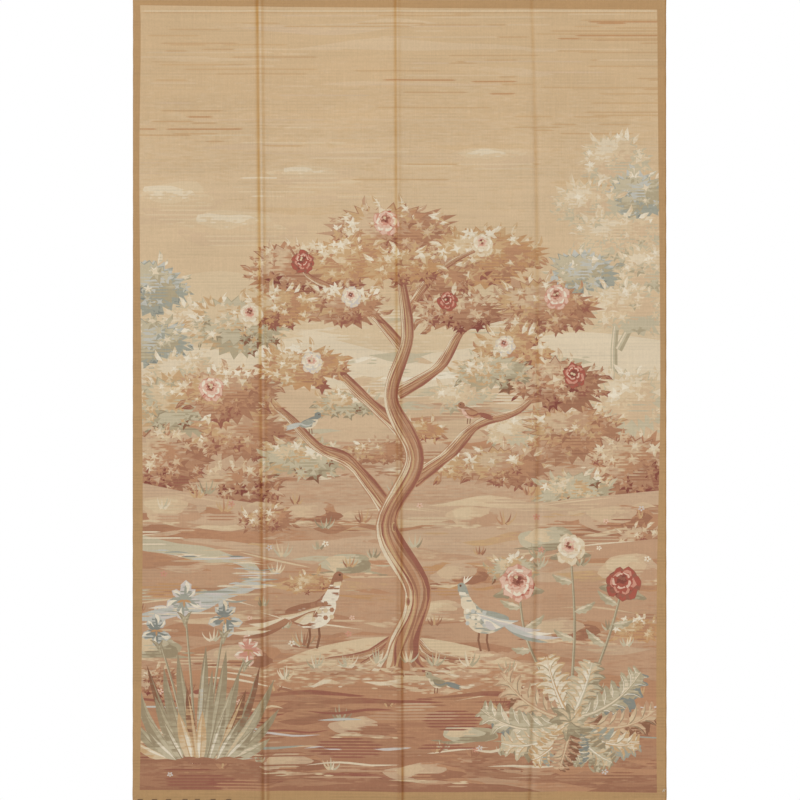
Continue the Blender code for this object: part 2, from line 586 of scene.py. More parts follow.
def weave_clouds(picture):
    """A few low clouds, each of three soft masses that are paler inwards."""
    rng = random.Random(23)
    clouds = (
        # centre x, centre z, across, up
        (-0.50, -0.46, 0.12, 0.045),
        (-0.36, -0.52, 0.15, 0.040),
        (-0.20, -0.40, 0.10, 0.022),
        (0.22, -0.36, 0.10, 0.022),
    )
    puffs = (
        # shift across and up, size, upper and lower yarn
        (0.00, 0.00, 1.00, "pale sky", "sand"),
        (-0.15, 0.20, 0.75, "straw", "pale sky"),
        (-0.25, 0.35, 0.45, "cream", "straw"),
    )
    for x, z, across, up in clouds:
        for shift_x, shift_z, share, upper, lower in puffs:
            centre = (x + shift_x * across, z + shift_z * up)
            outline = soft_mass(centre, across * share, up * share, 18, rng, 0.14)
            top, foot = (centre[0], centre[1] + up * share), (centre[0], centre[1] - up * share)
            picture.lay(outline, upper, lower, top, foot)
        picture.hatch((x + 0.1 * across, z - up * 0.7), across * 0.8, up * 0.5, "straw", rng, every=3)


def weave_hill(picture, ridge, floor, yarn_a, yarn_b):
    """Land from a ridge line down to a level. Its first yarn is the top's."""
    line = curve(ridge, 6)
    top = max(z for _, z in line)
    picture.lay(line + [(line[-1][0], floor), (line[0][0], floor)], yarn_a, yarn_b, (0, top), (0, floor))


def spread_ridge(half, heights):
    """A ridge from side to side through these heights."""
    step = 2 * half / (len(heights) - 1)
    return [(-half + index * step, z) for index, z in enumerate(heights)]


def weave_hills(picture, half):
    """Four ranges of low hills that grow warmer as they come nearer."""
    rng = random.Random(31)
    ranges = (
        # heights of the ridge from left to right, its yarns, the yarns of its drifts
        ((-0.66, -0.62, -0.67, -0.70, -0.66, -0.69, -0.72), "straw", "cream",
         ("sage", "cream", "straw", "pale sky")),
        ((-0.77, -0.80, -0.77, -0.81, -0.79, -0.76, -0.78), "cream", "straw",
         ("sage", "sand", "ivory", "straw")),
        ((-0.88, -0.86, -0.89, -0.91, -0.89, -0.87, -0.90), "sand", "buff",
         ("buff", "cream", "sage", "rust", "tan")),
        ((-0.99, -0.97, -1.00, -1.02, -1.00, -0.98, -1.01), "buff", "tan",
         ("tan", "sand", "rust", "earth", "cream")),
    )
    for heights, yarn_a, yarn_b, yarns in ranges:
        weave_hill(picture, spread_ridge(half, heights), -1.30, yarn_a, yarn_b)
        middle = sum(heights) / len(heights)
        for _ in range(32):
            centre = (rng.uniform(-half, half) * 0.8, middle - rng.uniform(0.01, 0.11))
            across = rng.uniform(0.03, 0.12)
            if rng.random() < 0.6:
                up = rng.uniform(0.005, 0.013)
                picture.drift(centre, across, up, pick(rng, yarns), rng, pick(rng, yarns))
            else:
                picture.hatch(centre, across * 0.8, rng.uniform(0.006, 0.016), pick(rng, yarns), rng)


# Leaf yarns from dark to light
RUST_LEAVES = ("wine", "brick", "clay", "rust", "tan", "honey", "sand", "cream", "ivory")
RED_LEAVES = ("maroon", "wine", "brick", "earth", "rust", "buff", "sand", "straw", "cream")
GOLD_LEAVES = ("wine", "clay", "amber", "rust", "honey", "honey", "straw", "cream", "ivory")
GREEN_LEAVES = ("umber", "olive", "moss", "sage", "honey", "sage", "straw", "cream", "ivory")
PALE_LEAVES = ("moss", "sage", "sage", "sand", "straw", "straw", "cream", "cream", "ivory")
COOL_LEAVES = ("slate", "teal", "teal", "moss", "mist", "sage", "sage", "cream", "ivory")


def weave_cluster(picture, rng, place, radius, leaves, tone):
    """A cluster of leaves end on: its shadow, the leaves, and a lighter star in them.

    tone is the place in leaves of the cluster's own yarn.
    """
    last = len(leaves) - 1
    lobes, turn = pick(rng, (4, 5, 5, 6)), rng.uniform(0, math.tau)
    if rng.random() < 0.55:
        shade = (place[0] + radius * 0.22, place[1] - radius * 0.30)
        picture.lay(leaf_star(shade, radius * 1.12, lobes, turn, rng, False), leaves[max(tone - 3, 0)])
    picture.lay(leaf_star(place, radius, lobes, turn, rng), leaves[tone], leaves[tone - 1],
                (place[0] - radius, place[1] + radius), (place[0] + radius, place[1] - radius))
    lit = (place[0] - radius * 0.12, place[1] + radius * 0.14)
    star = leaf_star(lit, radius * 0.58, lobes - 1, turn + 0.3, rng, False)
    picture.lay(star, leaves[min(tone + 1, last)])


def weave_canopy(picture, rng, centre, across, up, leaves, clusters, size):
    """A pad of foliage: leafy masses, clusters that are lighter up to the left, and leaves at its rim."""
    last = len(leaves) - 1
    for share, lift, light, dark in ((1.0, 0.0, 4, 2), (0.78, 0.16, 5, 3), (0.50, 0.34, 6, 4)):
        middle = (centre[0] - across * lift * 0.5, centre[1] + up * lift)
        outline = leafy_mass(middle, across * share, up * share, int(16 + 85 * across * share), rng)
        if share == 0.78:
            picture.lay([between(middle, point, 1.06) for point in outline], leaves[dark - 1])
        top = (middle[0] - across * 0.4, middle[1] + up * share)
        foot = (middle[0] + across * 0.4, middle[1] - up * share)
        picture.lay(outline, leaves[light], leaves[dark], top, foot)
        shade = (middle[0] + across * 0.2, middle[1] - up * 0.4 * share)
        picture.hatch(shade, across * 0.5 * share, up * 0.35 * share, leaves[dark - 1], rng)
    places = []
    for _ in range(clusters):
        angle, reach = rng.uniform(0, math.tau), math.sqrt(rng.random())
        places.append((reach * math.cos(angle), reach * math.sin(angle)))
    places.sort(key=lambda place: -place[1])
    for side, height in places:
        light = 0.58 + 0.30 * height - 0.14 * side + rng.gauss(0, 0.15)
        tone = min(max(round(light * last), 1), last)
        place = (centre[0] + across * side, centre[1] + up * height)
        weave_cluster(picture, rng, place, size * rng.uniform(0.60, 1.25), leaves, tone)
    rim = int(8 + 100 * across)
    for index in range(rim):
        angle = math.tau * (index + rng.random()) / rim
        if math.sin(angle) < -0.80:
            continue
        root = oval(centre, across * 0.92, up * 0.92, angle)
        length = size * rng.uniform(1.1, 2.1)
        tone = min(max(round((0.58 + 0.30 * math.sin(angle) + rng.gauss(0, 0.12)) * last), 2), last)
        yarns = (leaves[tone - 2], leaves[tone], leaves[min(tone + 1, last)])
        tip = polar(root, angle + rng.uniform(-0.7, 0.7), length)
        picture.leaf(root, tip, length * 0.36, yarns, rng.uniform(-0.2, 0.2))


def weave_canopies(picture, rng, pads, size=0.017):
    """Pads of foliage. size is the usual radius of their leaf clusters."""
    for x, z, across, up, leaves, clusters in pads:
        weave_canopy(picture, rng, (x, z), across, up, leaves, clusters, size)


def weave_grove(picture):
    """Pale trees in the distance: a tall one on the right and low ones on the left."""
    rng = random.Random(41)
    limbs = (
        ((0.50, -0.98), (0.49, -0.80), (0.51, -0.62), (0.49, -0.46)),
        ((0.50, -0.80), (0.55, -0.70), (0.58, -0.60)),
        ((0.50, -0.74), (0.45, -0.66), (0.43, -0.58)),
        ((-0.53, -0.98), (-0.52, -0.86), (-0.55, -0.74)),
    )
    for limb in limbs:
        trunk = curve(limb, 5)
        for low, high, yarn in ((-1.0, 1.0, "moss"), (-0.2, 0.9, "sage"), (0.3, 0.7, "cream")):
            picture.lay(strip(trunk, taper(0.009, 0.4), low, high), yarn)
    pads = (
        # centre x, centre z, across, up, leaves, clusters
        (0.49, -0.37, 0.070, 0.060, PALE_LEAVES, 17),
        (0.55, -0.45, 0.075, 0.050, COOL_LEAVES, 17),
        (0.43, -0.47, 0.075, 0.050, PALE_LEAVES, 17),
        (0.50, -0.54, 0.100, 0.050, PALE_LEAVES, 24),
        (0.57, -0.62, 0.075, 0.050, PALE_LEAVES, 18),
        (0.42, -0.63, 0.080, 0.050, COOL_LEAVES, 20),
        (0.51, -0.71, 0.105, 0.055, PALE_LEAVES, 26),
        (-0.56, -0.66, 0.075, 0.060, COOL_LEAVES, 20),
        (-0.45, -0.74, 0.085, 0.045, PALE_LEAVES, 20),
        (-0.56, -0.79, 0.080, 0.055, COOL_LEAVES, 20),
        (-0.49, -0.86, 0.085, 0.050, PALE_LEAVES, 20),
    )
    weave_canopies(picture, rng, pads, 0.016)


def weave_thickets(picture):
    """Low scrub across the hills, and rounded bushes on both sides of the middle ground."""
    rng = random.Random(47)
    scrub = (
        # centre x, centre z, across, up, leaves, clusters
        (0.14, -0.905, 0.065, 0.026, PALE_LEAVES, 12),
        (-0.12, -0.925, 0.070, 0.028, GREEN_LEAVES, 13),
        (0.05, -0.985, 0.050, 0.022, GOLD_LEAVES, 9),
        (-0.05, -1.035, 0.070, 0.026, RUST_LEAVES, 13),
        (0.13, -1.070, 0.065, 0.026, GOLD_LEAVES, 12),
        (0.26, -0.990, 0.060, 0.030, PALE_LEAVES, 12),
    )
    weave_canopies(picture, rng, scrub, 0.014)
    thickets = (
        # centre x, centre z, across, up, leaves, clusters
        (0.53, -0.92, 0.090, 0.070, PALE_LEAVES, 24),
        (-0.50, -0.93, 0.110, 0.070, GREEN_LEAVES, 30),
        (0.40, -0.99, 0.110, 0.065, RUST_LEAVES, 32),
        (-0.36, -0.99, 0.105, 0.060, RUST_LEAVES, 30),
        (-0.54, -1.06, 0.105, 0.072, RED_LEAVES, 33),
        (0.54, -1.07, 0.100, 0.075, RED_LEAVES, 33),
        (-0.22, -1.05, 0.090, 0.045, GREEN_LEAVES, 22),
        (0.24, -1.07, 0.095, 0.045, RUST_LEAVES, 23),
        (-0.38, -1.12, 0.100, 0.050, RED_LEAVES, 27),
        (0.40, -1.13, 0.090, 0.045, GREEN_LEAVES, 23),
    )
    weave_canopies(picture, rng, thickets)


TRUNK = (
    (0.004, -1.535), (0.008, -1.475), (0.040, -1.35), (-0.030, -1.20),
    (0.035, -1.05), (-0.020, -0.91), (0.018, -0.77), (0.000, -0.62),
)
Branch = namedtuple("Branch", "points thick")
BRANCHES = (
    Branch(((-0.022, -1.17), (-0.11, -1.06), (-0.19, -1.02), (-0.27, -0.94), (-0.37, -0.90)), 0.019),
    Branch(((0.028, -1.10), (0.11, -1.04), (0.18, -0.97), (0.27, -0.94), (0.34, -0.87)), 0.018),
    Branch(((0.010, -0.99), (-0.08, -0.91), (-0.16, -0.84), (-0.27, -0.81), (-0.34, -0.74)), 0.016),
    Branch(((-0.005, -0.90), (0.09, -0.84), (0.15, -0.75), (0.25, -0.72), (0.30, -0.66)), 0.015),
    Branch(((0.010, -0.80), (-0.06, -0.72), (-0.13, -0.67), (-0.21, -0.63), (-0.25, -0.57)), 0.013),
    Branch(((0.010, -0.73), (0.06, -0.65), (0.12, -0.60), (0.19, -0.565)), 0.012),
)

# A stripe of bark: its middle, half width and sway as shares of the limb's half width, and its waves
Stripe = namedtuple("Stripe", "middle wide sway waves yarn")
BARK = (
    Stripe(-0.78, 0.20, 0.05, 5, "wine"),
    Stripe(-0.48, 0.12, 0.10, 9, "brick"),
    Stripe(-0.26, 0.10, 0.12, 7, "tan"),
    Stripe(-0.04, 0.09, 0.12, 8, "brick"),
    Stripe(0.16, 0.10, 0.12, 6, "honey"),
    Stripe(0.36, 0.07, 0.10, 9, "wine"),
    Stripe(0.54, 0.13, 0.08, 7, "straw"),
    Stripe(0.80, 0.14, 0.05, 6, "cream"),
    Stripe(0.68, 0.04, 0.06, 8, "clay"),
)


def bark_edge(stripe, t, sign):
    """Where one side of a stripe lies at t along its limb. The stripe narrows between its waves."""
    wander = stripe.sway * math.sin(math.pi * stripe.waves * t + stripe.middle * 9)
    swell = 0.15 + 0.85 * abs(math.sin(math.pi * stripe.waves * t + stripe.middle * 5))
    return stripe.middle + wander + sign * stripe.wide * swell


def weave_limb(picture, points, thick, steps=7, left=0.25, flare=0.0):
    """A trunk or branch: a tapered, knotty strip with wavering stripes of bark along it."""
    line = curve(points, steps)
    shares = even(len(line) - 1)
    halves = []
    for t in shares:
        knotty = 1 + 0.09 * math.sin(t * 23) + 0.05 * math.sin(t * 51)
        halves.append(thick * (1 - (1 - left) * t) * knotty * (1 + flare * math.exp(-t * 16)))

    def side(edge):
        return [side_of(line, index, half * edge(t)) for index, (half, t) in enumerate(zip(halves, shares))]

    picture.lay(side(lambda t: 1.0) + side(lambda t: -1.0)[::-1], "rust", "earth", points[0], points[-1])
    for stripe in BARK:
        one, other = (side(lambda t: bark_edge(stripe, t, sign)) for sign in (1, -1))
        picture.lay(one + other[::-1], stripe.yarn)


def weave_knot(picture, x, z, size):
    """A long knot in the bark, with a pale lip to its left."""
    for shift, share, yarn in ((-0.25, 1.0, "honey"), (0.0, 0.8, "brick"), (0.1, 0.4, "wine")):
        picture.dot((x + shift * size, z), size * share, yarn, 8, 2.4)


def weave_petal(picture, rng, centre, angle, inner, outer, spread, yarns):
    """A ruffled petal that fans out from a bloom's middle, with a pale lip. yarns is root, tip and lip."""
    root, tip, lip = yarns
    outline = [polar(centre, angle - spread * 0.25, inner)]
    rim = []
    for step in (-1.0, -0.5, 0.0, 0.5, 1.0):
        reach = outer * (1 - 0.13 * step * step) * rng.uniform(0.88, 1.06)
        rim.append((angle + step * spread / 2, reach))
    outline += [polar(centre, turn, reach) for turn, reach in rim]
    outline.append(polar(centre, angle + spread * 0.25, inner))
    picture.lay(outline, root, tip, polar(centre, angle, inner * 0.8), polar(centre, angle, outer * 0.8))
    band = [polar(centre, turn, reach * 0.97) for turn, reach in rim[1:]]
    band += [polar(centre, turn, reach * rng.uniform(0.66, 0.84)) for turn, reach in rim[:0:-1]]
    picture.lay(band, lip)


def weave_bloom(picture, rng, centre, radius, rings):
    """A full, ruffled bloom: rings of petals from the outside in, and a dark heart.

    rings is the petal yarns of each ring. The bloom faces up and a little to the left.
    """
    facing = math.radians(110)
    picture.lay(soft_mass(centre, radius * 0.8, radius * 0.8, 10, rng), rings[0][0])
    for ring, yarns in enumerate(rings):
        count = 7 - ring
        turn = rng.uniform(0, math.tau)
        middle = polar(centre, facing, radius * 0.10 * ring)
        outer = radius * (1 - 0.24 * ring)
        for index in range(count):
            angle = turn + math.tau * (index + rng.uniform(-0.15, 0.15)) / count
            reach = outer * rng.uniform(0.88, 1.08)
            weave_petal(picture, rng, middle, angle, radius * 0.10, reach, math.tau / count * 1.12, yarns)
    heart = polar(centre, facing, radius * 0.25)
    for index in range(4):
        seed = polar(heart, math.tau * index / 4 + 0.4, radius * 0.13)
        outline = soft_mass(seed, radius * 0.11, radius * 0.10, 6, rng)
        picture.lay(outline, pick(rng, ("maroon", "wine", "straw")))


PINK_BLOOM = (("red", "rose", "blush"), ("rose", "blush", "ivory"), ("wine", "rose", "blush"))
RED_BLOOM = (("maroon", "wine", "red"), ("wine", "red", "rose"), ("maroon", "red", "blush"))
CREAM_BLOOM = (("tan", "straw", "cream"), ("sand", "cream", "ivory"), ("rose", "blush", "cream"))
LILAC_BLOOM = (("mist", "lilac", "cream"), ("lilac", "cream", "ivory"), ("rose", "blush", "ivory"))


def weave_tree(picture):
    """One tree that winds up the middle and spreads to both sides, with pads of leaves and large blooms."""
    rng = random.Random(59)
    roots = (
        # reach to the side, how far it sinks, half width
        (-0.17, 0.006, 0.016),
        (0.17, 0.008, 0.016),
        (-0.11, 0.030, 0.014),
        (0.12, 0.034, 0.014),
        (0.01, 0.046, 0.013),
    )
    for reach, sink, thick in roots:
        root = [(0.018 + reach * 0.02, -1.440), (reach * 0.40, -1.492), (reach, -1.500 - sink)]
        weave_limb(picture, root, thick, 5, 0.1)
    back = (
        # centre x, centre z, across, up, leaves, clusters
        (-0.02, -0.535, 0.130, 0.066, RUST_LEAVES, 45),
        (-0.23, -0.620, 0.115, 0.062, RED_LEAVES, 38),
        (0.20, -0.590, 0.125, 0.064, GOLD_LEAVES, 41),
        (-0.11, -0.600, 0.090, 0.050, GOLD_LEAVES, 27),
        (0.08, -0.640, 0.085, 0.045, RUST_LEAVES, 23),
    )
    front = (
        (-0.37, -0.745, 0.110, 0.060, GREEN_LEAVES, 36),
        (0.33, -0.700, 0.115, 0.058, RUST_LEAVES, 38),
        (-0.13, -0.700, 0.095, 0.044, RUST_LEAVES, 27),
        (0.13, -0.715, 0.090, 0.042, RED_LEAVES, 25),
        (-0.27, -0.705, 0.075, 0.042, GOLD_LEAVES, 20),
        (0.01, -0.610, 0.080, 0.038, GOLD_LEAVES, 22),
        (-0.39, -0.900, 0.110, 0.056, RUST_LEAVES, 36),
        (0.36, -0.880, 0.110, 0.056, RED_LEAVES, 36),
        (0.26, -0.800, 0.080, 0.040, GOLD_LEAVES, 22),
        (-0.22, -0.840, 0.095, 0.044, GOLD_LEAVES, 27),
        (0.21, -0.850, 0.075, 0.038, GREEN_LEAVES, 20),
    )
    weave_canopies(picture, rng, back)
    for branch in BRANCHES:
        weave_limb(picture, branch.points, branch.thick)
    weave_limb(picture, TRUNK, 0.038, 8, flare=0.9)
    weave_knot(picture, 0.020, -1.375, 0.005)
    weave_knot(picture, -0.012, -1.205, 0.005)
    weave_canopies(picture, rng, front)
    blooms = (
        (-0.43, -0.89, 0.031, PINK_BLOOM),
        (0.40, -0.86, 0.031, RED_BLOOM),
        (-0.34, -0.72, 0.030, CREAM_BLOOM),
        (0.36, -0.68, 0.030, PINK_BLOOM),
        (-0.22, -0.60, 0.028, RED_BLOOM),
        (0.19, -0.56, 0.028, CREAM_BLOOM),
        (-0.03, -0.51, 0.032, PINK_BLOOM),
        (-0.20, -0.83, 0.026, LILAC_BLOOM),
        (0.24, -0.79, 0.025, LILAC_BLOOM),
        (0.11, -0.69, 0.025, RED_BLOOM),
        (-0.11, -0.68, 0.025, LILAC_BLOOM),
    )
    for x, z, radius, rings in blooms:
        weave_bloom(picture, rng, (x, z), radius, rings)


def weave_tuft(picture, rng, base, blades, height, yarns):
    """A tuft of curved grass blades."""
    for index in range(blades):
        lean = (index / (blades - 1) - 0.5) * 1.5 + rng.uniform(-0.12, 0.12)
        length = height * rng.uniform(0.7, 1.1)
        tip = (base[0] + math.sin(lean) * length, base[1] + math.cos(lean) * length)
        line = bend_line((base[0] + lean * 0.006, base[1]), tip, -0.18 * lean, even(4))
        picture.lay(strip(line, taper(0.0030)), pick(rng, yarns))


def weave_daisy(picture, rng, centre, radius, yarn):
    """A small wild flower of five petals."""
    turn = rng.uniform(0, math.tau)
    outline = []
    for index in range(5):
        for step, reach in ((0.0, 0.35), (0.25, 0.9), (0.5, 1.0), (0.75, 0.9)):
            outline.append(polar(centre, turn + (index + step) * math.tau / 5, radius * reach, 0.85))
    picture.lay(outline, yarn)
    picture.dot(centre, radius * 0.28, "amber")


Bank = namedtuple("Bank", "heights top foot deep light dark")
BANKS = (
    # the ridge's heights, the yarns of its top and foot, its depth, the yarns of its lights and its shades
    Bank((-1.10, -1.14, -1.16, -1.15, -1.16, -1.14, -1.12), "buff", "tan", 0.11,
         ("sand", "buff", "straw", "honey"), ("rust", "tan", "earth", "clay")),
    Bank((-1.22, -1.25, -1.29, -1.30, -1.28, -1.25, -1.23), "tan", "rust", 0.11,
         ("buff", "sand", "honey", "sage"), ("rust", "earth", "clay", "amber")),
    Bank((-1.38, -1.36, -1.41, -1.43, -1.40, -1.37, -1.40), "tan", "earth", 0.12,
         ("buff", "sand", "rust", "tan"), ("earth", "clay", "rust", "brick")),
    Bank((-1.55, -1.53, -1.57, -1.60, -1.58, -1.54, -1.56), "rust", "clay", 0.12,
         ("tan", "buff", "earth", "rust"), ("clay", "brick", "earth", "wine")),
    Bank((-1.68, -1.70, -1.69, -1.72, -1.70, -1.68, -1.71), "earth", "brick", 0.10,
         ("rust", "tan", "rust", "earth"), ("clay", "brick", "wine", "clay")),
)
EARTH_ROCK = ("brick", "rust", "buff", "sand")
PALE_ROCK = ("tan", "buff", "sand", "straw")
COOL_ROCK = ("olive", "moss", "sage", "straw")
ROCKS = (
    # centre x, centre z, across, up, yarns
    (-0.52, -1.165, 0.075, 0.034, PALE_ROCK),
    (-0.20, -1.175, 0.070, 0.026, EARTH_ROCK),
    (0.17, -1.180, 0.065, 0.024, PALE_ROCK),
    (0.50, -1.185, 0.085, 0.036, EARTH_ROCK),
    (0.34, -1.235, 0.070, 0.030, COOL_ROCK),
    (-0.12, -1.290, 0.060, 0.024, COOL_ROCK),
    (0.53, -1.300, 0.070, 0.036, PALE_ROCK),
    (0.14, -1.315, 0.070, 0.026, EARTH_ROCK),
    (-0.56, -1.480, 0.060, 0.030, COOL_ROCK),
    (0.10, -1.395, 0.060, 0.022, PALE_ROCK),
    (0.38, -1.440, 0.085, 0.030, EARTH_ROCK),
    (-0.36, -1.500, 0.080, 0.030, EARTH_ROCK),
    (-0.08, -1.660, 0.075, 0.024, EARTH_ROCK),
    (0.16, -1.680, 0.065, 0.022, COOL_ROCK),
    (-0.24, -1.745, 0.080, 0.024, EARTH_ROCK),
    (0.06, -1.765, 0.090, 0.022, EARTH_ROCK),
)


def weave_rock(picture, rng, centre, across, up, yarns):
    """A hummock of earth or stone, lit from the upper left, with its foot lost in the soil.

    yarns is its four yarns from dark to light.
    """
    x, z = centre
    dark, middle, light, pale = yarns
    parts = (
        # shift across and up, size across and up, points, upper and lower yarn
        (0.00, 0.00, 1.00, 0.95, 22, light, middle),
        (0.26, -0.20, 0.66, 0.62, 16, middle, dark),
        (-0.16, 0.24, 0.64, 0.56, 16, pale, light),
        (-0.34, 0.42, 0.30, 0.26, 10, pale, pale),
    )
    picture.drift((x + across * 0.1, z - up * 0.75), across * 1.25, up * 0.30, dark, rng, middle)
    for shift_x, shift_z, wide, high, points, upper, lower in parts:
        middle_x, middle_z = x + shift_x * across, z + shift_z * up
        top = (middle_x - wide * across * 0.3, middle_z + high * up)
        foot = (middle_x + wide * across * 0.3, middle_z - high * up)
        outline = soft_mass((middle_x, middle_z), wide * across, high * up, points, rng, 0.10)
        picture.lay(outline, upper, lower, top, foot)
    picture.hatch((x + across * 0.15, z - up * 0.45), across * 0.7, up * 0.40, dark, rng)
    picture.hatch((x - across * 0.25, z + up * 0.10), across * 0.5, up * 0.30, pale, rng)
    picture.drift((x, z - up * 0.92), across * 0.95, up * 0.22, "straw", rng, "tan", fringe=3)


def weave_bank(picture, rng, bank, half, floor):
    """One bank of earth, with broad soft drifts, small ones, hatching, and lights along its ridge."""
    weave_hill(picture, spread_ridge(half, bank.heights), floor, bank.top, bank.foot)
    middle = sum(bank.heights) / len(bank.heights)
    sizes = (
        # how many, least and greatest half width, least and greatest half height
        (9, 0.10, 0.24, 0.012, 0.022),
        (14, 0.045, 0.12, 0.006, 0.013),
        (9, 0.025, 0.06, 0.004, 0.008),
    )
    for count, narrow, wide, low, high in sizes:
        for index in range(count):
            centre = (rng.uniform(-half, half), middle - rng.uniform(0.012, bank.deep))
            yarns = bank.light if index % 2 else bank.dark
            picture.drift(centre, rng.uniform(narrow, wide), rng.uniform(low, high), pick(rng, yarns), rng,
                          pick(rng, (bank.top, bank.foot, yarns[0])))
    for index in range(8):
        centre = (rng.uniform(-half, half), middle - rng.uniform(0.012, bank.deep))
        yarn = pick(rng, bank.light if index % 2 else bank.dark)
        picture.hatch(centre, rng.uniform(0.03, 0.10), rng.uniform(0.008, 0.020), yarn, rng)
    ridge = curve(spread_ridge(half, bank.heights), 5)
    for _ in range(6):
        first = rng.randrange(len(ridge) - 6)
        shift = -rng.uniform(0.0, 0.02)
        points = [(x, z + shift + rng.uniform(-0.003, 0.003)) for x, z in ridge[first:first + 6:2]]
        picture.line(points, rng.uniform(0.0012, 0.0026), pick(rng, ("cream", "straw", "sand")))


def weave_ground(picture, half, drop):
    """Banks of earth that come forward and darken, with hummocks, low shrubs, grass and wild flowers."""
    rng = random.Random(71)
    grasses = (("cream", "sage", "straw"), ("moss", "olive", "sage"), ("rust", "honey", "brick"))
    shrubs = (
        # centre x, centre z, across, up, leaves, clusters
        (-0.30, -1.190, 0.060, 0.028, RUST_LEAVES, 14),
        (0.55, -1.235, 0.055, 0.030, RED_LEAVES, 14),
        (0.26, -1.300, 0.055, 0.026, GREEN_LEAVES, 12),
        (-0.20, -1.335, 0.050, 0.022, GOLD_LEAVES, 11),
        (0.54, -1.440, 0.055, 0.028, GOLD_LEAVES, 13),
        (-0.56, -1.555, 0.055, 0.028, RED_LEAVES, 13),
        (0.20, -1.560, 0.050, 0.020, RED_LEAVES, 11),
    )
    for bank in BANKS:
        weave_bank(picture, rng, bank, half, -drop)
        top, foot = max(bank.heights), min(bank.heights) - bank.deep
        for x, z, across, up, yarns in ROCKS:
            if foot < z <= top - 0.02:
                weave_rock(picture, rng, (x, z), across, up, yarns)
        weave_canopies(picture, rng, [shrub for shrub in shrubs if foot < shrub[1] <= top - 0.02], 0.013)
        for _ in range(11):
            place = (rng.uniform(-half, half), top - rng.uniform(0.02, bank.deep))
            weave_tuft(picture, rng, place, 5, rng.uniform(0.022, 0.040), pick(rng, grasses))
        for _ in range(6):
            place = (rng.uniform(-half, half), top - rng.uniform(0.02, bank.deep))
            radius = rng.uniform(0.006, 0.009)
            weave_daisy(picture, rng, place, radius, pick(rng, ("blush", "ivory", "rose", "lilac")))


def weave_water(picture):
    """A brook that winds down the left side: ragged cool streaks along its course, with pale lights."""
    rng = random.Random(79)
    lights = ("ivory", "lilac", "teal", "mist", "sand", "cream")
    course = curve([
        (-0.62, -1.235), (-0.48, -1.262), (-0.36, -1.285), (-0.32, -1.325),
        (-0.42, -1.365), (-0.52, -1.400), (-0.62, -1.415),
    ], 5)
    water = strip(course, lambda t: 0.012 + 0.005 * math.sin(t * 11) + 0.003 * math.sin(t * 37))
    picture.lay(water, "sage", "mist", course[0], course[-1])
    for index in range(64):
        x, z = course[rng.randrange(1, len(course) - 2)]
        long = rng.uniform(0.015, 0.055)
        z += rng.gauss(0, 0.010)
        if index % 3:
            middle = (x, z + rng.uniform(-0.003, 0.003))
            right = (x + long, z + rng.uniform(-0.003, 0.003))
            thick = rng.uniform(0.0012, 0.0030)
            picture.line([(x - long, z), middle, right], thick, pick(rng, lights), 3)
        else:
            picture.bar(x - long, x + long, z, pick(rng, ("mist", "slate", "cream", "buff")))


def weave_mound(picture):
    """The knoll that the tree stands on."""
    rng = random.Random(83)
    yarns = ("straw", "rust", "cream", "tan", "clay", "buff")
    knoll = curve([
        (-0.34, -1.545), (-0.22, -1.490), (-0.10, -1.462), (0.0, -1.455),
        (0.11, -1.466), (0.24, -1.500), (0.36, -1.550),
    ], 5)
    foot = curve([(0.36, -1.55), (0.17, -1.590), (0.0, -1.602), (-0.18, -1.592), (-0.34, -1.545)], 5)
    picture.lay(knoll + foot[1:-1], "straw", "rust", (0, -1.455), (0, -1.600))
    for _ in range(34):
        centre = (rng.uniform(-0.26, 0.26), -1.49 - rng.uniform(0.0, 0.09))
        across, up = rng.uniform(0.02, 0.08), rng.uniform(0.003, 0.009)
        picture.drift(centre, across, up, pick(rng, yarns), rng, pick(rng, ("sand", "tan")))
    for x in (-0.22, -0.04, 0.20):
        picture.drift((x, -1.604 + 0.35 * x * x), 0.14, 0.007, "brick", rng, "wine")


def weave_mound_grass(picture):
    """Grass and small drifts of earth over the tree's foot."""
    rng = random.Random(89)
    for x in (-0.13, -0.07, -0.02, 0.03, 0.08, 0.14):
        z = -1.520 - 0.4 * x * x - rng.uniform(0.0, 0.012)
        across, yarn = rng.uniform(0.025, 0.045), pick(rng, ("straw", "sand"))
        picture.drift((x, z), across, 0.006, yarn, rng, pick(rng, ("rust", "tan")))
    for x in (-0.26, -0.19, -0.12, -0.05, 0.02, 0.08, 0.16, 0.25):
        z = -1.500 - 0.5 * x * x - rng.uniform(0.0, 0.02)
        weave_tuft(picture, rng, (x, z), 6, 0.036, ("cream", "sage", "moss", "straw"))


def weave_foreground(picture, half, drop):
    """The nearest earth: hatched patches in wine and terracotta, and long cool streaks of shade."""
    rng = random.Random(97)
    streaks = ("teal", "mist", "lilac", "cream", "straw", "wine")
    patches = (
        # centre x, centre z, across, up
        (-0.120, -1.707, 0.085, 0.025),
        (0.120, -1.645, 0.070, 0.022),
        (-0.450, -1.785, 0.095, 0.018),
    )
    for _ in range(18):
        centre = (rng.uniform(-half, half), rng.uniform(-drop + 0.03, -1.62))
        across, up = rng.uniform(0.05, 0.13), rng.uniform(0.008, 0.022)
        picture.hatch(centre, across, up, pick(rng, ("wine", "brick", "rust", "clay", "tan")), rng)
    for _ in range(30):
        x, z = rng.uniform(-half, half), rng.uniform(-drop + 0.03, -1.60)
        long = rng.uniform(0.04, 0.12)
        points = [(x - long, z)]
        for share, stray in ((-0.3, 0.007), (0.4, 0.007), (1.0, 0.004)):
            points.append((x + long * share, z + rng.uniform(-stray, stray)))
        picture.line(points, rng.uniform(0.0015, 0.0035), pick(rng, streaks), 3)
    for x, z, across, up in patches:
        picture.hatch((x, z), across, up, "wine", rng, ragged=0.12, share=1.0)


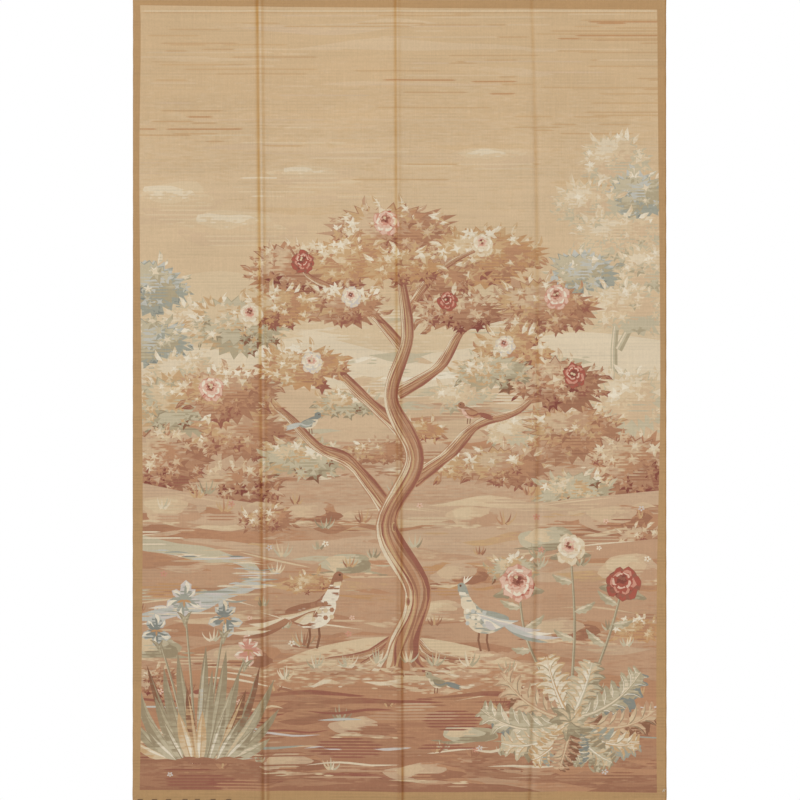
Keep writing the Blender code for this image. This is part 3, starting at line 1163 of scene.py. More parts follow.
Acanthus = namedtuple("Acanthus", "under dark middle light vein")
ACANTHUS = (
    # the yarns of a leaf: its turned-under edge, its shaded, middle and lit parts, and its veins
    Acanthus("slate", "moss", "sage", "cream", "ivory"),
    Acanthus("olive", "sage", "straw", "ivory", "honey"),
    Acanthus("teal", "honey", "cream", "ivory", "moss"),
    Acanthus("umber", "tan", "sand", "straw", "olive"),
)


def weave_acanthus(picture, base, tip, width, bend, yarns):
    """A large cut leaf: its underside, pairs of lobes from tip to base, and the midrib over their roots."""
    pairs = 7
    shift_x, shift_z = width * 0.05, -width * 0.07
    low_base, low_tip = ((point[0] + shift_x, point[1] + shift_z) for point in (base, tip))
    under = toothed(low_base, low_tip, width * 1.02, bend, pairs, 0.45)
    picture.lay(under, yarns.under, yarns.dark, tip, base)
    lit_tones = (yarns.dark, yarns.middle, yarns.light)
    shaded_tones = (yarns.under, yarns.dark, yarns.middle)
    line = bend_line(base, tip, bend, even(pairs * 2 + 2))
    last = len(line) - 1
    for pair in range(pairs, 0, -1):
        index = max(1, round(last * (pair - 0.6) / (pairs + 0.4)))
        root = line[index]
        reach = width * (0.30 + 0.70 * math.sin(math.pi * (pair / (pairs + 1)) ** 0.8))
        ahead = line[min(index + 3, last)]
        for side in (-1, 1):
            out = side_of(line, index, side * reach * 0.48)
            target = (out[0] + (ahead[0] - root[0]) * 1.05, out[1] + (ahead[1] - root[1]) * 1.05)
            lit = target[0] < root[0] or target[1] > root[1] + reach * 0.3
            tones = lit_tones if lit else shaded_tones
            picture.leaf(root, target, reach * 0.36, tones, side * -0.16, teeth=3)
            vein = bend_line(root, between(root, target, 0.85), side * -0.16, even(3))
            picture.lay(strip(vein, taper(0.0013, 0.3)), yarns.vein)
    picture.leaf(line[last - 2], tip, width * 0.30, lit_tones, bend)
    picture.lay(strip(line, taper(0.0060, 0.12)), yarns.dark)
    picture.lay(strip(line, taper(0.0060, 0.12), -0.2, 0.7), yarns.light)


def weave_stem(picture, points, thick=0.0038):
    """A stem with a lit side. Returns the line that it follows."""
    line = curve(points, 6)
    picture.lay(strip(line, taper(thick, 0.6)), "olive")
    picture.lay(strip(line, taper(thick, 0.6), 0.1, 0.8), "sage")
    return line


def weave_great_plant(picture):
    """A great leafy plant at the lower right, with flowers on stems."""
    rng = random.Random(101)
    x, z = 0.39, -1.650
    count, length, width = 12, 0.205, 0.092
    small_leaves = (("moss", "sage", "cream"), ("olive", "moss", "straw"), ("honey", "straw", "ivory"))
    stems = (
        # the stem's points from root to bloom, bloom radius, petals
        (((0.36, -1.61), (0.29, -1.46), (0.272, -1.335)), 0.044, PINK_BLOOM),
        (((0.42, -1.61), (0.48, -1.45), (0.510, -1.335)), 0.042, RED_BLOOM),
        (((0.39, -1.61), (0.40, -1.43), (0.390, -1.255)), 0.036, CREAM_BLOOM),
    )
    for points, radius, rings in stems:
        line = weave_stem(picture, points)
        for share, side in ((0.40, 1), (0.58, -1), (0.76, 1)):
            index = int(len(line) * share)
            out = side_of(line, index, side * 0.048)
            tip = (out[0], out[1] + 0.022)
            picture.leaf(line[index], tip, 0.020, ("moss", "sage", "cream"), side * 0.1, 4)
        for side in (-1, 1):
            out = side_of(line, len(line) - 1, side * radius * 1.35)
            tip = (out[0], out[1] - radius * 0.5)
            picture.leaf(line[-1], tip, radius * 0.7, ("olive", "moss", "sage"), side * 0.1, 3)
    angles = [math.radians(-78 + 336 * index / (count - 1)) for index in range(count)]
    for index in sorted(range(count), key=lambda k: -math.sin(angles[k])):
        angle = angles[index]
        drooping = max(0.0, -math.sin(angle))
        reach = length * rng.uniform(0.88, 1.1) * (1 - 0.45 * drooping)
        base = oval((x, z), 0.012, 0.010, angle)
        tip = (x + reach * math.cos(angle), z + reach * 0.80 * math.sin(angle) - 0.01)
        broad = width * (1 - 0.25 * drooping)
        yarns = ACANTHUS[index % len(ACANTHUS)]
        weave_acanthus(picture, base, tip, broad, -0.16 * math.cos(angle), yarns)
    for index in range(9):
        angle = math.radians(20 + 40 * index)
        tip = polar((x, z), angle, length * rng.uniform(0.20, 0.30), 0.85)
        yarns = pick(rng, small_leaves)
        picture.leaf((x, z), tip, length * 0.13, yarns, rng.uniform(-0.15, 0.15), teeth=3)
    for points, radius, rings in stems:
        weave_bloom(picture, rng, points[-1], radius, rings)


Iris = namedtuple("Iris", "x z size yarns")
IRISES = (
    Iris(-0.555, -1.440, 0.036, ("slate", "mist", "ivory")),
    Iris(-0.492, -1.372, 0.042, ("teal", "lilac", "ivory")),
    Iris(-0.398, -1.412, 0.040, ("slate", "mist", "cream")),
    Iris(-0.345, -1.485, 0.034, ("rose", "blush", "ivory")),
)


def weave_iris(picture, rng, iris):
    """A flower with three petals that hang and three that stand up over them."""
    centre, size = (iris.x, iris.z), iris.size
    dark, middle, light = iris.yarns
    petals = (
        # angle in degrees, reach and width as shares of the size
        (198, 1.05, 0.62),
        (342, 1.05, 0.62),
        (270, 1.15, 0.72),
        (138, 0.85, 0.46),
        (42, 0.85, 0.46),
        (90, 1.10, 0.70),
    )
    for degrees, reach, share in petals:
        tip = polar(centre, math.radians(degrees + rng.uniform(-8, 8)), size * reach)
        bend = rng.uniform(-0.12, 0.12)
        wide = size * share
        picture.lay(toothed(tip, centre, wide, bend, 3, 0.18), middle, dark, tip, centre)
        lip = blade(between(centre, tip, 0.95), between(centre, tip, 0.25), wide * 0.8, bend, -0.1, 0.8)
        picture.lay(lip, light)
        picture.lay(blade(between(centre, tip, 0.75), centre, wide * 0.22, bend), dark)
    for degrees, _, _ in petals[:3]:
        beard = polar(centre, math.radians(degrees), size * 0.42)
        picture.lay(blade(centre, beard, size * 0.14), "amber")


def weave_irises(picture):
    """A clump of sword-shaped leaves at the lower left, with tall flowers in it."""
    rng = random.Random(103)
    foot_x, foot_z = -0.455, -1.735
    rows = (
        # leaves in the row, greatest height, half spread at the foot, greatest lean in radians, leaf yarns
        (9, 0.285, 0.050, 0.55,
         (("umber", "olive", "moss"), ("olive", "sage", "mist"), ("olive", "moss", "sage"))),
        (10, 0.215, 0.065, 0.80,
         (("olive", "moss", "sage"), ("moss", "sage", "straw"), ("umber", "honey", "straw"))),
        (9, 0.140, 0.070, 1.05,
         (("moss", "sage", "cream"), ("olive", "sage", "ivory"), ("honey", "straw", "ivory"))),
    )
    for iris in IRISES:
        aside = iris.x - foot_x
        start = foot_x + aside * 0.25
        middle = ((start + iris.x) / 2 - aside * 0.06, (iris.z + foot_z) / 2)
        weave_stem(picture, ((start, foot_z), middle, (iris.x, iris.z)), 0.0034)
    for count, high, spread, most, tones in rows:
        sides = [2 * index / (count - 1) - 1 for index in range(count)]
        for side in sorted(sides, key=lambda side: -abs(side)):
            lean = side * most + rng.uniform(-0.06, 0.06)
            long = high * (1 - 0.25 * abs(side)) * rng.uniform(0.85, 1.05)
            base = (foot_x + side * spread, foot_z - 0.012 * math.cos(side * 1.5))
            tip = (base[0] + long * math.sin(lean), base[1] + long * math.cos(lean))
            width, yarns = rng.uniform(0.019, 0.028), pick(rng, tones)
            picture.leaf(base, tip, width, yarns, -side * rng.uniform(0.02, 0.12))
    for iris in IRISES:
        weave_iris(picture, rng, iris)
        x, z, size = iris.x, iris.z, iris.size
        fork = (x - (x - foot_x) * 0.10, z - size * 1.55)
        for side in (-1, 1):
            tip = (x + side * size * 0.42, z - size * 0.62)
            picture.leaf(fork, tip, size * 0.26, ("olive", "moss", "sage"), side * 0.15)
    for shift in (-0.10, -0.04, 0.03, 0.09):
        centre = (foot_x + shift, foot_z - 0.006)
        picture.drift(centre, 0.060, 0.009, pick(rng, ("brick", "clay", "rust")), rng, "brick")


def bird_frame(centre, size, facing):
    """Gives the function that takes points of a bird, 1 in size and facing right, to the picture.

    facing is 1 to the right, or -1.
    """
    def place(*points):
        return [(centre[0] + facing * x * size, centre[1] + z * size) for x, z in points]

    return place


def weave_bird(picture, centre, size, facing, yarns):
    """A small plump bird: tail, body, wing, head and beak. yarns is its back, breast, wing and tail."""
    back, breast, wing, tail = yarns
    place = bird_frame(centre, size, facing)
    for spread in (-0.12, 0.0, 0.12):
        picture.lay(blade(*place((-0.45, 0.0), (-1.55, -0.35 + spread)), size * 0.22), tail)
    body = place(
        (0.55, 0.30), (0.35, -0.15), (-0.10, -0.38), (-0.55, -0.15),
        (-0.50, 0.10), (0.0, 0.35), (0.35, 0.45),
    )
    picture.lay(curve(body, 4, closed=True), breast, back, *place((0.5, -0.3), (-0.2, 0.4)))
    for lift, yarn in ((0.0, wing), (0.10, tail), (0.18, wing)):
        feather = place((0.25, 0.12 + lift * 0.6), (-0.75 + lift, -0.12 + lift))
        picture.lay(blade(*feather, size * 0.30, facing * 0.15), yarn)
    head = [oval((0.52, 0.50), 0.23, 0.21, math.tau * step / 10) for step in range(10)]
    picture.lay(place(*head), back)
    picture.lay(place((0.70, 0.56), (0.98, 0.47), (0.72, 0.42)), "amber")
    picture.dot(*place((0.58, 0.55)), size * 0.045, "brown")
    for foot in (-0.05, 0.12):
        leg = place((foot, -0.34), (foot + 0.03, -0.68))
        picture.lay(strip(leg, lambda t: size * 0.03), "umber")


def weave_pheasant(picture, rng, centre, size, facing, yarns):
    """A long-tailed bird that stands upright. yarns is its back, breast, wing, tail and their lights."""
    back, breast, wing, tail, light = yarns
    place = bird_frame(centre, size, facing)
    tail_feathers = (
        # the tip, yarn
        ((-1.75, -0.60), back),
        ((-2.15, -0.46), tail),
        ((-1.90, -0.34), light),
        ((-1.55, -0.24), tail),
        ((-1.35, -0.38), wing),
    )
    for tip, yarn in tail_feathers:
        feather = place((-0.35, 0.05), tip)
        picture.lay(blade(*feather, size * 0.15, facing * 0.10, steps=8), yarn)
    for foot in (-0.06, 0.18):
        leg = place((foot + 0.04, -0.25), (foot + 0.07, -0.55), (foot, -0.86))
        toes = place((foot - 0.05, -0.87), (foot + 0.12, -0.86))
        picture.lay(strip(leg, lambda t: size * 0.030), "umber")
        picture.lay(strip(toes, spindle(size * 0.035)), "umber")
    body = place(
        (0.60, 0.50), (0.66, 0.15), (0.40, -0.26), (-0.05, -0.36), (-0.48, -0.16),
        (-0.62, 0.10), (-0.25, 0.26), (0.15, 0.34), (0.40, 0.55),
    )
    neck = place(
        (0.30, 0.32), (0.50, 0.72), (0.60, 1.00), (0.72, 1.10),
        (0.86, 1.02), (0.84, 0.88), (0.76, 0.70), (0.70, 0.36),
    )
    collar = place((0.62, 0.82), (0.80, 0.84), (0.80, 0.74), (0.58, 0.72))
    beak = place((0.84, 1.02), (1.06, 0.94), (0.84, 0.90))
    picture.lay(curve(body, 4, closed=True), breast, back, *place((0.6, -0.3), (-0.2, 0.4)))
    picture.lay(curve(neck, 3, closed=True), back, breast, *place((0.6, 1.0), (0.5, 0.4)))
    picture.lay(collar, light)
    picture.lay(beak, "amber")
    picture.dot(*place((0.76, 1.01)), size * 0.035, "brown")
    for lean in (-0.10, 0.02, 0.14):
        crest = place((0.66, 1.06), (0.50 + lean, 1.30))
        picture.lay(blade(*crest, size * 0.05), light)
    for row, count in ((0.30, 4), (0.12, 5), (-0.06, 4)):
        for index in range(count):
            spot = place((0.56 - 0.16 * index, row - 0.02 * index))
            picture.dot(*spot, size * 0.065, pick(rng, (breast, light, wing)))
    for layer in range(6):
        root = (0.34 - 0.06 * layer, 0.26 - 0.05 * layer)
        tip = (-0.92 + 0.13 * layer, 0.02 - 0.05 * layer)
        picture.lay(blade(*place(root, tip), size * 0.20, facing * 0.12), (wing, light, tail)[layer % 3])


def weave_birds(picture):
    """Two pheasants and three small birds."""
    rng = random.Random(107)
    weave_pheasant(picture, rng, (-0.205, -1.405), 0.090, 1, ("brick", "ivory", "clay", "cream", "straw"))
    weave_pheasant(picture, rng, (0.200, -1.420), 0.080, -1, ("teal", "cream", "mist", "lilac", "ivory"))
    weave_bird(picture, (-0.205, -0.968), 0.036, 1, ("slate", "cream", "teal", "mist"))
    weave_bird(picture, (0.160, -0.945), 0.036, -1, ("brick", "blush", "rust", "wine"))
    weave_bird(picture, (0.085, -1.560), 0.036, -1, ("moss", "cream", "olive", "slate"))


def weave_border(picture, width, drop):
    """The plain gold band in the same web. Its inner edge wanders, as the wefts draw in."""
    half = width / 2
    sides = (
        # an outer corner, the inner edge, and the other outer corner
        ((-half, 0.0), [
            (-half + 0.0170, 0.0), (-half + 0.0185, -0.10), (-half + 0.0155, -0.40),
            (-half + 0.0195, -0.80), (-half + 0.0235, -1.10), (-half + 0.0215, -1.50),
            (-half + 0.0165, -drop),
        ], (-half, -drop)),
        ((half, 0.0), [
            (half - 0.0215, 0.0), (half - 0.0190, -0.30), (half - 0.0145, -0.90),
            (half - 0.0220, -1.30), (half - 0.0240, -1.60), (half - 0.0225, -drop),
        ], (half, -drop)),
        ((-half, 0.0), [
            (-half, -0.0126), (-0.30, -0.0165), (0.0, -0.0190), (0.30, -0.0205), (half, -0.0230),
        ], (half, 0.0)),
        ((-half, -drop), [
            (-half, -drop + 0.0250), (-0.22, -drop + 0.0230), (0.12, -drop + 0.0195),
            (0.30, -drop + 0.0215), (half, -drop + 0.0185),
        ], (half, -drop)),
    )
    for first, edge, last in sides:
        picture.lay([first, *curve(edge, 5), last], "band")


def weave_picture(width, drop):
    """All shapes of the woven picture, from the farthest to the nearest."""
    picture = Picture()
    half = width / 2
    weave_sky(picture, half)
    weave_clouds(picture)
    weave_hills(picture, half)
    weave_grove(picture)
    weave_thickets(picture)
    weave_ground(picture, half, drop)
    weave_water(picture)
    weave_foreground(picture, half, drop)
    weave_mound(picture)
    weave_tree(picture)
    weave_mound_grass(picture)
    weave_great_plant(picture)
    weave_irises(picture)
    weave_birds(picture)
    weave_border(picture, width, drop)
    return picture.shapes


# The picture cut into triangles


def base_columns(z, width, drop):
    """The two side edges and the columns along the creases at this height, and whether each is cut in."""
    columns = [(-width / 2, True)]
    for crease in CREASES:
        middle = line_place(crease, z, drop)
        columns += [(middle + offset, offset in CREASE_LINES) for offset in CREASE_COLUMNS]
    return columns + [(width / 2, True)]


def sheet_rows(drop):
    """The heights of the sheet's rows, and whether each is cut in, as the edges and the hems' steps are."""
    first = HEM_DEPTH + HEM_STEP
    steps = round((drop - 2 * first) / ROW_STEP)
    rows = [(first + (drop - 2 * first) * step / steps, step in (0, steps)) for step in range(steps + 1)]
    for depth, cut in ((0.0, True), (HEM_DEPTH / 2, False), (HEM_DEPTH, True)):
        rows += [(depth, cut), (drop - depth, cut)]
    return sorted(rows)


def sheet_grid(width, drop):
    """The sheet's own points, and the lines between them that are cut in whatever the picture."""
    top = base_columns(0.0, width, drop)
    parts = [max(1, round((right - left) / PANEL_COLUMN)) for (left, _), (right, _) in zip(top, top[1:])]
    points, lines = [], []
    above = None
    for depth, cut in sheet_rows(drop):
        base = base_columns(-depth, width, drop)
        row = [base[0]]
        for (left, _), right, count in zip(base, base[1:], parts):
            row += [(left + (right[0] - left) * part / count, False) for part in range(1, count)]
            row.append(right)
        first = len(points)
        points += [(x, -depth) for x, _ in row]
        if cut:
            lines += [(first + index, first + index + 1) for index in range(len(row) - 1)]
        if above is not None:
            lines += [(above + index, first + index) for index, (_, kept) in enumerate(row) if kept]
        above = first
    return points, lines


def overlay(shapes, width, drop):
    """Lays the shapes over one another. Returns the points, the triangles and the topmost shape in each."""
    half = width / 2
    sheet = [(-half, -drop), (half, -drop), (half, 0.0), (-half, 0.0)]
    points, outlines = [], []
    for outline in [sheet, *(shape.outline for shape in shapes)]:
        first = len(points)
        points.extend(Vector(point) for point in outline)
        outlines.append(list(range(first, len(points))))
    found, _, faces, _, _, sources = delaunay_2d_cdt(points, [], outlines, 0, 1e-6)
    kept = [(face, max(source)) for face, source in zip(faces, sources) if 0 in source]
    return [(point.x, point.y) for point in found], [face for face, _ in kept], [top for _, top in kept]


def shape_look(shape):
    """What tells a shape's surface from its neighbour's. A plain shape has no gradient to tell it by."""
    return shape if shape.yarn_a != shape.yarn_b else shape.yarn_a


def visible_edges(triangles, looks):
    """The edges between triangles of different looks."""
    seen = {}
    edges = []
    for triangle, look in zip(triangles, looks):
        for a, b in zip(triangle, triangle[1:] + triangle[:1]):
            other = seen.pop((b, a), None)
            if other is None:
                seen[(a, b)] = look
            elif other != look:
                edges.append((a, b))
    return edges


def thin_chain(points, chain, slack):
    """The chain without the points within the slack of a straight run between those that are kept."""
    kept = [chain[0]]
    anchor = 0
    for index in range(2, len(chain)):
        (ax, az), (bx, bz) = points[chain[anchor]], points[chain[index]]
        dx, dz = bx - ax, bz - az
        length = math.hypot(dx, dz)
        for skipped in chain[anchor + 1:index]:
            px, pz = points[skipped]
            if length < slack or abs((px - ax) * dz - (pz - az) * dx) > slack * length:
                anchor = index - 1
                kept.append(chain[anchor])
                break
    kept.append(chain[-1])
    return list(zip(kept, kept[1:]))


def straighten(points, edges, slack):
    """The same lines with fewer points: every chain between two junctions is thinned."""
    links = defaultdict(list)
    for a, b in edges:
        links[a].append(b)
        links[b].append(a)
    used = set()
    thinned = []
    starts = [point for point in links if len(links[point]) != 2]
    for start in starts + list(links):
        for step in links[start]:
            if (start, step) in used:
                continue
            chain = [start, step]
            while len(links[chain[-1]]) == 2 and chain[-1] != start:
                one, other = links[chain[-1]]
                chain.append(other if one == chain[-2] else one)
            used.update(zip(chain, chain[1:]))
            used.update(zip(chain[1:], chain))
            thinned += thin_chain(points, chain, slack)
    return thinned


def split_long(points, edges):
    """Splits the long edges, so that the sheet can bend along them. The new points are added to points."""
    pieces = []
    for a, b in edges:
        count = 1 + int(math.dist(points[a], points[b]) / LONGEST)
        stops = [a, *range(len(points), len(points) + count - 1), b]
        points += [between(points[a], points[b], part / count) for part in range(1, count)]
        pieces += list(zip(stops, stops[1:]))
    return pieces


def cut_sheet(shapes, width, drop, slack):
    """Cuts the picture along the edges that show. Returns points, triangles and their topmost shapes."""
    points, triangles, topmost = overlay(shapes, width, drop)
    lookup = BVHTree.FromPolygons([(x, z, 0.0) for x, z in points], triangles)
    looks = [shape_look(SKY)] + [shape_look(shape) for shape in shapes]
    edges = visible_edges(triangles, [looks[top] for top in topmost])
    edges = split_long(points, straighten(points, edges, slack))
    grid, lines = sheet_grid(width, drop)
    used = sorted({point for edge in edges for point in edge})
    number = {point: len(grid) + index for index, point in enumerate(used)}
    lines += [(number[a], number[b]) for a, b in edges if a != b]
    corners = [Vector(point) for point in grid] + [Vector(points[point]) for point in used]
    found, _, faces, _, _, _ = delaunay_2d_cdt(corners, lines, [], 0, 1e-6)
    places = np.array([(point.x, point.y) for point in found])
    triangles = np.array(faces)
    centres = places[triangles].mean(axis=1)
    below = Vector((0.0, 0.0, -1.0))
    tops = [topmost[lookup.ray_cast(Vector((x, z, 1.0)), below)[2]] for x, z in centres.tolist()]
    return places, triangles, np.array(tops)


def rim_loop(places, triangles):
    """The points along the sheet's outer edge, in order, from its lower left corner."""
    edges = set()
    for triangle in triangles.tolist():
        edges.update(zip(triangle, triangle[1:] + triangle[:1]))
    ahead = {a: b for a, b in edges if (b, a) not in edges}
    loop = [min(ahead, key=lambda point: places[point].sum())]
    while ahead[loop[-1]] != loop[0]:
        loop.append(ahead[loop[-1]])
    return loop


# The cloth as one closed mesh


def hang(places, width, drop, share):
    """The flat sheet's points hung in the creases and waves, at this share of the cloth's thickness."""
    x, z = places[:, 0], places[:, 1]
    wobble = SELVEDGE_WOBBLE * (np.sin(z * 211) + np.sin(z * 97 + 1) - 2) / 2
    at_side = np.abs(x) > width / 2 - 1e-5
    y = face_depth(x, z, width, drop) + share * thickness(z, drop)
    return np.stack([x + np.where(at_side, np.sign(x) * wobble, 0.0), y, z], axis=1)


def face_normals(places, width, drop):
    """The cloth's true normals at its points, from the slope of its face."""
    x, z = places[:, 0], places[:, 1]
    small = 0.0004
    along = (face_depth(x + small, z, width, drop) - face_depth(x - small, z, width, drop)) / (2 * small)
    down = (face_depth(x, z + small, width, drop) - face_depth(x, z - small, width, drop)) / (2 * small)
    normals = np.stack([along, -np.ones_like(x), down], axis=1)
    return normals / np.linalg.norm(normals, axis=1, keepdims=True)


def yarn_values(shapes, places, triangles, topmost):
    """Each triangle's two yarns and softness, and at its corners how far the first yarn has given way."""
    names = list(YARNS)
    colors = np.array([yarn_color(name) for name in names])
    first = np.array([names.index(shape.yarn_a) for shape in shapes])
    second = np.array([names.index(shape.yarn_b) for shape in shapes])
    starts = np.array([shape.start for shape in shapes])
    spans = np.array([shape.end for shape in shapes]) - starts
    span = spans[topmost][:, None, :]
    length = (span ** 2).sum(-1)
    blend = ((places[triangles] - starts[topmost][:, None, :]) * span).sum(-1) / np.maximum(length, 1e-9)
    soft = np.clip(np.sqrt(length[:, 0]) * SOFTNESS, *SOFT_LIMITS)
    return colors[first[topmost]], colors[second[topmost]], soft, np.clip(blend, 0.0, 1.0)


def write_values(mesh, name, kind, domain, values):
    """Adds an attribute to the mesh that the cloth's material reads."""
    layer = mesh.attributes.new(name, kind, domain)
    layer.data.foreach_set("color" if kind == "FLOAT_COLOR" else "value", values.astype(np.float32).ravel())


def bake_map(mesh, front, back, rims, width, drop):
    """Lays the face, the rim and the back side by side on a map for a bake."""
    low, high = MAP_UP

    def spread(places, left, right):
        across = left + (right - left) * (places[:, 0] / width + 0.5)
        return np.stack([across, low + (high - low) * (1 + places[:, 1] / drop)], axis=1)

    left, right = MAP_RIM
    levels = np.linspace(low, high, rims + 1)
    quads = [((left, b), (left, a), (right, a), (right, b)) for a, b in zip(levels, levels[1:])]
    corners = np.concatenate([
        spread(front, *MAP_FACE),
        spread(back, *MAP_BACK),
        np.array(quads).reshape(-1, 2),
    ])
    mesh.uv_layers.new(name="OFBake").uv.foreach_set("vector", corners.astype(np.float32).ravel())


def make_cloth(width, drop):
    """One closed mesh: the face, the back with the picture's larger shapes, and the rim between them."""
    shapes = weave_picture(width, drop)
    large = [shape for shape in shapes if outline_area(shape.outline) > BACK_LEAST]
    face_places, face, face_tops = cut_sheet(shapes, width, drop, FACE_SLACK)
    back_places, back, back_tops = cut_sheet(large, width, drop, BACK_SLACK)
    count = len(face_places)
    loop = rim_loop(face_places, face)
    far_loop = [count + point for point in rim_loop(back_places, back)]
    rims = [(loop[i], loop[i - 1], far_loop[i - 1], far_loop[i]) for i in range(len(loop))]
    back = back[:, ::-1]

    points = np.concatenate([hang(face_places, width, drop, 0.0), hang(back_places, width, drop, 1.0)])
    mesh = bpy.data.meshes.new("woven_cloth")
    mesh.from_pydata(points.tolist(), [], face.tolist() + (back + count).tolist() + rims)

    band = Shape((), "band", "band", (0.0, 0.0), (0.0, 1.0))
    rim_corners = np.zeros((len(rims), 4), dtype=int)
    parts = (
        yarn_values([SKY, *shapes], face_places, face, face_tops),
        yarn_values([SKY, *large], back_places, back, back_tops),
        yarn_values([band], back_places, rim_corners, rim_corners[:, 0]),
    )
    attributes = (
        ("yarn_a", "FLOAT_COLOR", "FACE"),
        ("yarn_b", "FLOAT_COLOR", "FACE"),
        ("soft", "FLOAT", "FACE"),
        ("blend", "FLOAT", "CORNER"),
    )
    for (name, kind, domain), values in zip(attributes, zip(*parts)):
        write_values(mesh, name, kind, domain, np.concatenate([value.ravel() for value in values]))
    # Each point's offset from each crease's sharp line, where the material paints the crease shade and
    # highlight
    flat = np.concatenate([face_places, back_places])
    for index, crease in enumerate(CREASES):
        offsets = flat[:, 0] - line_place(crease, flat[:, 1], drop)
        write_values(mesh, f"fold_{index}", "FLOAT", "POINT", offsets)
    bake_map(mesh, face_places[face.ravel()], back_places[back.ravel()], len(rims), width, drop)

    face_normal = face_normals(face_places, width, drop)[face.ravel()]
    back_normal = -face_normals(back_places, width, drop)[back.ravel()]
    automatic = np.zeros((len(rims) * 4, 3))
    mesh.polygons.foreach_set("use_smooth", np.ones(len(mesh.polygons), dtype=bool))
    mesh.normals_split_custom_set(np.concatenate([face_normal, back_normal, automatic]).tolist())
    return bpy.data.objects.new("woven_cloth", mesh)


# Sewing thread


def tube(points, radius):
    """A round thread through the points, thinner at both ends. Returns its corners and faces."""
    sides = 5
    line = [Vector(point) for point in points]
    last = len(line) - 1
    corners, faces = [], []
    for index, point in enumerate(line):
        ahead = (line[min(index + 1, last)] - line[max(index - 1, 0)]).normalized()
        side = ahead.cross(Vector((0.0, 1.0, 0.0))).normalized()
        up = side.cross(ahead)
        girth = radius * (0.55 if index in (0, last) else 1.0)
        for step in range(sides):
            turn = math.tau * step / sides
            corners.append(point + side * girth * math.cos(turn) + up * girth * math.sin(turn))
    for index in range(last):
        for step in range(sides):
            a, b = index * sides + step, index * sides + (step + 1) % sides
            faces.append((a, b, b + sides, a + sides))
    faces += [tuple(range(sides))[::-1], tuple(range(last * sides, (last + 1) * sides))]
    return corners, faces


def make_threads(name, paths, radius):
    """One mesh of all these threads."""
    corners, faces = [], []
    for path in paths:
        more_corners, more_faces = tube(path, radius)
        faces += [tuple(len(corners) + index for index in face) for face in more_faces]
        corners += more_corners
    mesh = bpy.data.meshes.new(name)
    mesh.from_pydata(corners, [], faces)
    mesh.polygons.foreach_set("use_smooth", np.ones(len(mesh.polygons), dtype=bool))
    return bpy.data.objects.new(name, mesh)


def hem_stitch_paths(width, drop):
    """Slanting whip stitches over the turned edge of each hem, on the back."""
    rng = random.Random(5)
    paths = []
    for inner, way in ((-HEM_DEPTH, -1), (-drop + HEM_DEPTH, 1)):
        for index in range(int((width - 2 * STITCH_INSET) / STITCH_STEP)):
            x = -width / 2 + STITCH_INSET + index * STITCH_STEP + rng.uniform(-0.001, 0.001)
            slant = rng.uniform(0.0025, 0.0045)
            path = []
            for share in (-0.9, -0.5, 0.0, 0.5, 1.0):
                px, pz = x + slant * share, inner + way * (0.002 + 0.0045 * share)
                lift = THREAD * (0.7 - 1.2 * share ** 4)
                path.append((px, float(face_depth(px, pz, width, drop) + thickness(pz, drop)) + lift, pz))
            paths.append(path)
    return paths


def edge_stitch_paths(width, drop):
    """A short run of dark tacking stitches near the left end of the bottom edge."""
    rng = random.Random(9)
    paths = []
    for index in range(TACKS):
        left = TACK_FIRST + TACK_STEP * index + rng.uniform(-0.003, 0.003)
        path = []
        for share in (0.0, 0.12, 0.5, 0.88, 1.0):
            x, z = left + TACK_LONG * share, -drop + TACK_RISE
            lift = TACKING * (0.6 if 0 < share < 1 else -0.8)
            path.append((x, float(face_depth(x, z, width, drop)) - lift, z))
        paths.append(path)
    return paths


def loose_end_paths(width, drop):
    """The knotted end of a pale thread that shows at the right edge."""
    path = []
    for step in range(15):
        turn = step * 0.75
        x = width / 2 - 0.0050 + 0.0022 * math.cos(turn) - 0.0002 * step
        z = -drop + 0.0255 + 0.0020 * math.sin(turn) - 0.00025 * step
        lift = 0.0004 + 0.0003 * math.sin(turn * 2)
        path.append((x, float(face_depth(x, z, width, drop)) - lift, z))
    return [path]


# Materials


def add_node(tree, kind, **settings):
    node = tree.nodes.new(kind)
    for name, value in settings.items():
        setattr(node, name, value)
    return node


def fill(tree, sockets, values):
    """Sets each input socket to a number or colour, or links it to another socket."""
    for socket, value in zip(sockets, values):
        if isinstance(value, (int, float, tuple)):
            socket.default_value = value
        else:
            tree.links.new(value, socket)


def math_node(tree, operation, *inputs, clamp=False):
    node = add_node(tree, "ShaderNodeMath", operation=operation, use_clamp=clamp)
    fill(tree, node.inputs, inputs)
    return node.outputs[0]


def times(tree, value, factor):
    return math_node(tree, "MULTIPLY", value, factor)


def noise(tree, vector, scale, detail=2.0, roughness=0.5):
    node = add_node(tree, "ShaderNodeTexNoise")
    fill(tree, (node.inputs[name] for name in ("Vector", "Scale", "Detail", "Roughness")),
         (vector, scale, detail, roughness))
    return node.outputs["Fac"]


def combine(tree, x, y, z):
    node = add_node(tree, "ShaderNodeCombineXYZ")
    fill(tree, node.inputs, (x, y, z))
    return node.outputs[0]


def map_range(tree, value, low, high, to_low, to_high):
    node = add_node(tree, "ShaderNodeMapRange")
    fill(tree, (node.inputs[name] for name in ("Value", "From Min", "From Max", "To Min", "To Max")),
         (value, low, high, to_low, to_high))
    return node.outputs["Result"]


def mix_colors(tree, factor, first, second, blend_type="MIX"):
    node = add_node(tree, "ShaderNodeMix", data_type="RGBA", blend_type=blend_type)
    fill(tree, (node.inputs[0], node.inputs[6], node.inputs[7]), (factor, first, second))
    return node.outputs[2]


def attribute(tree, name, output="Fac"):
    return add_node(tree, "ShaderNodeAttribute", attribute_name=name).outputs[output]


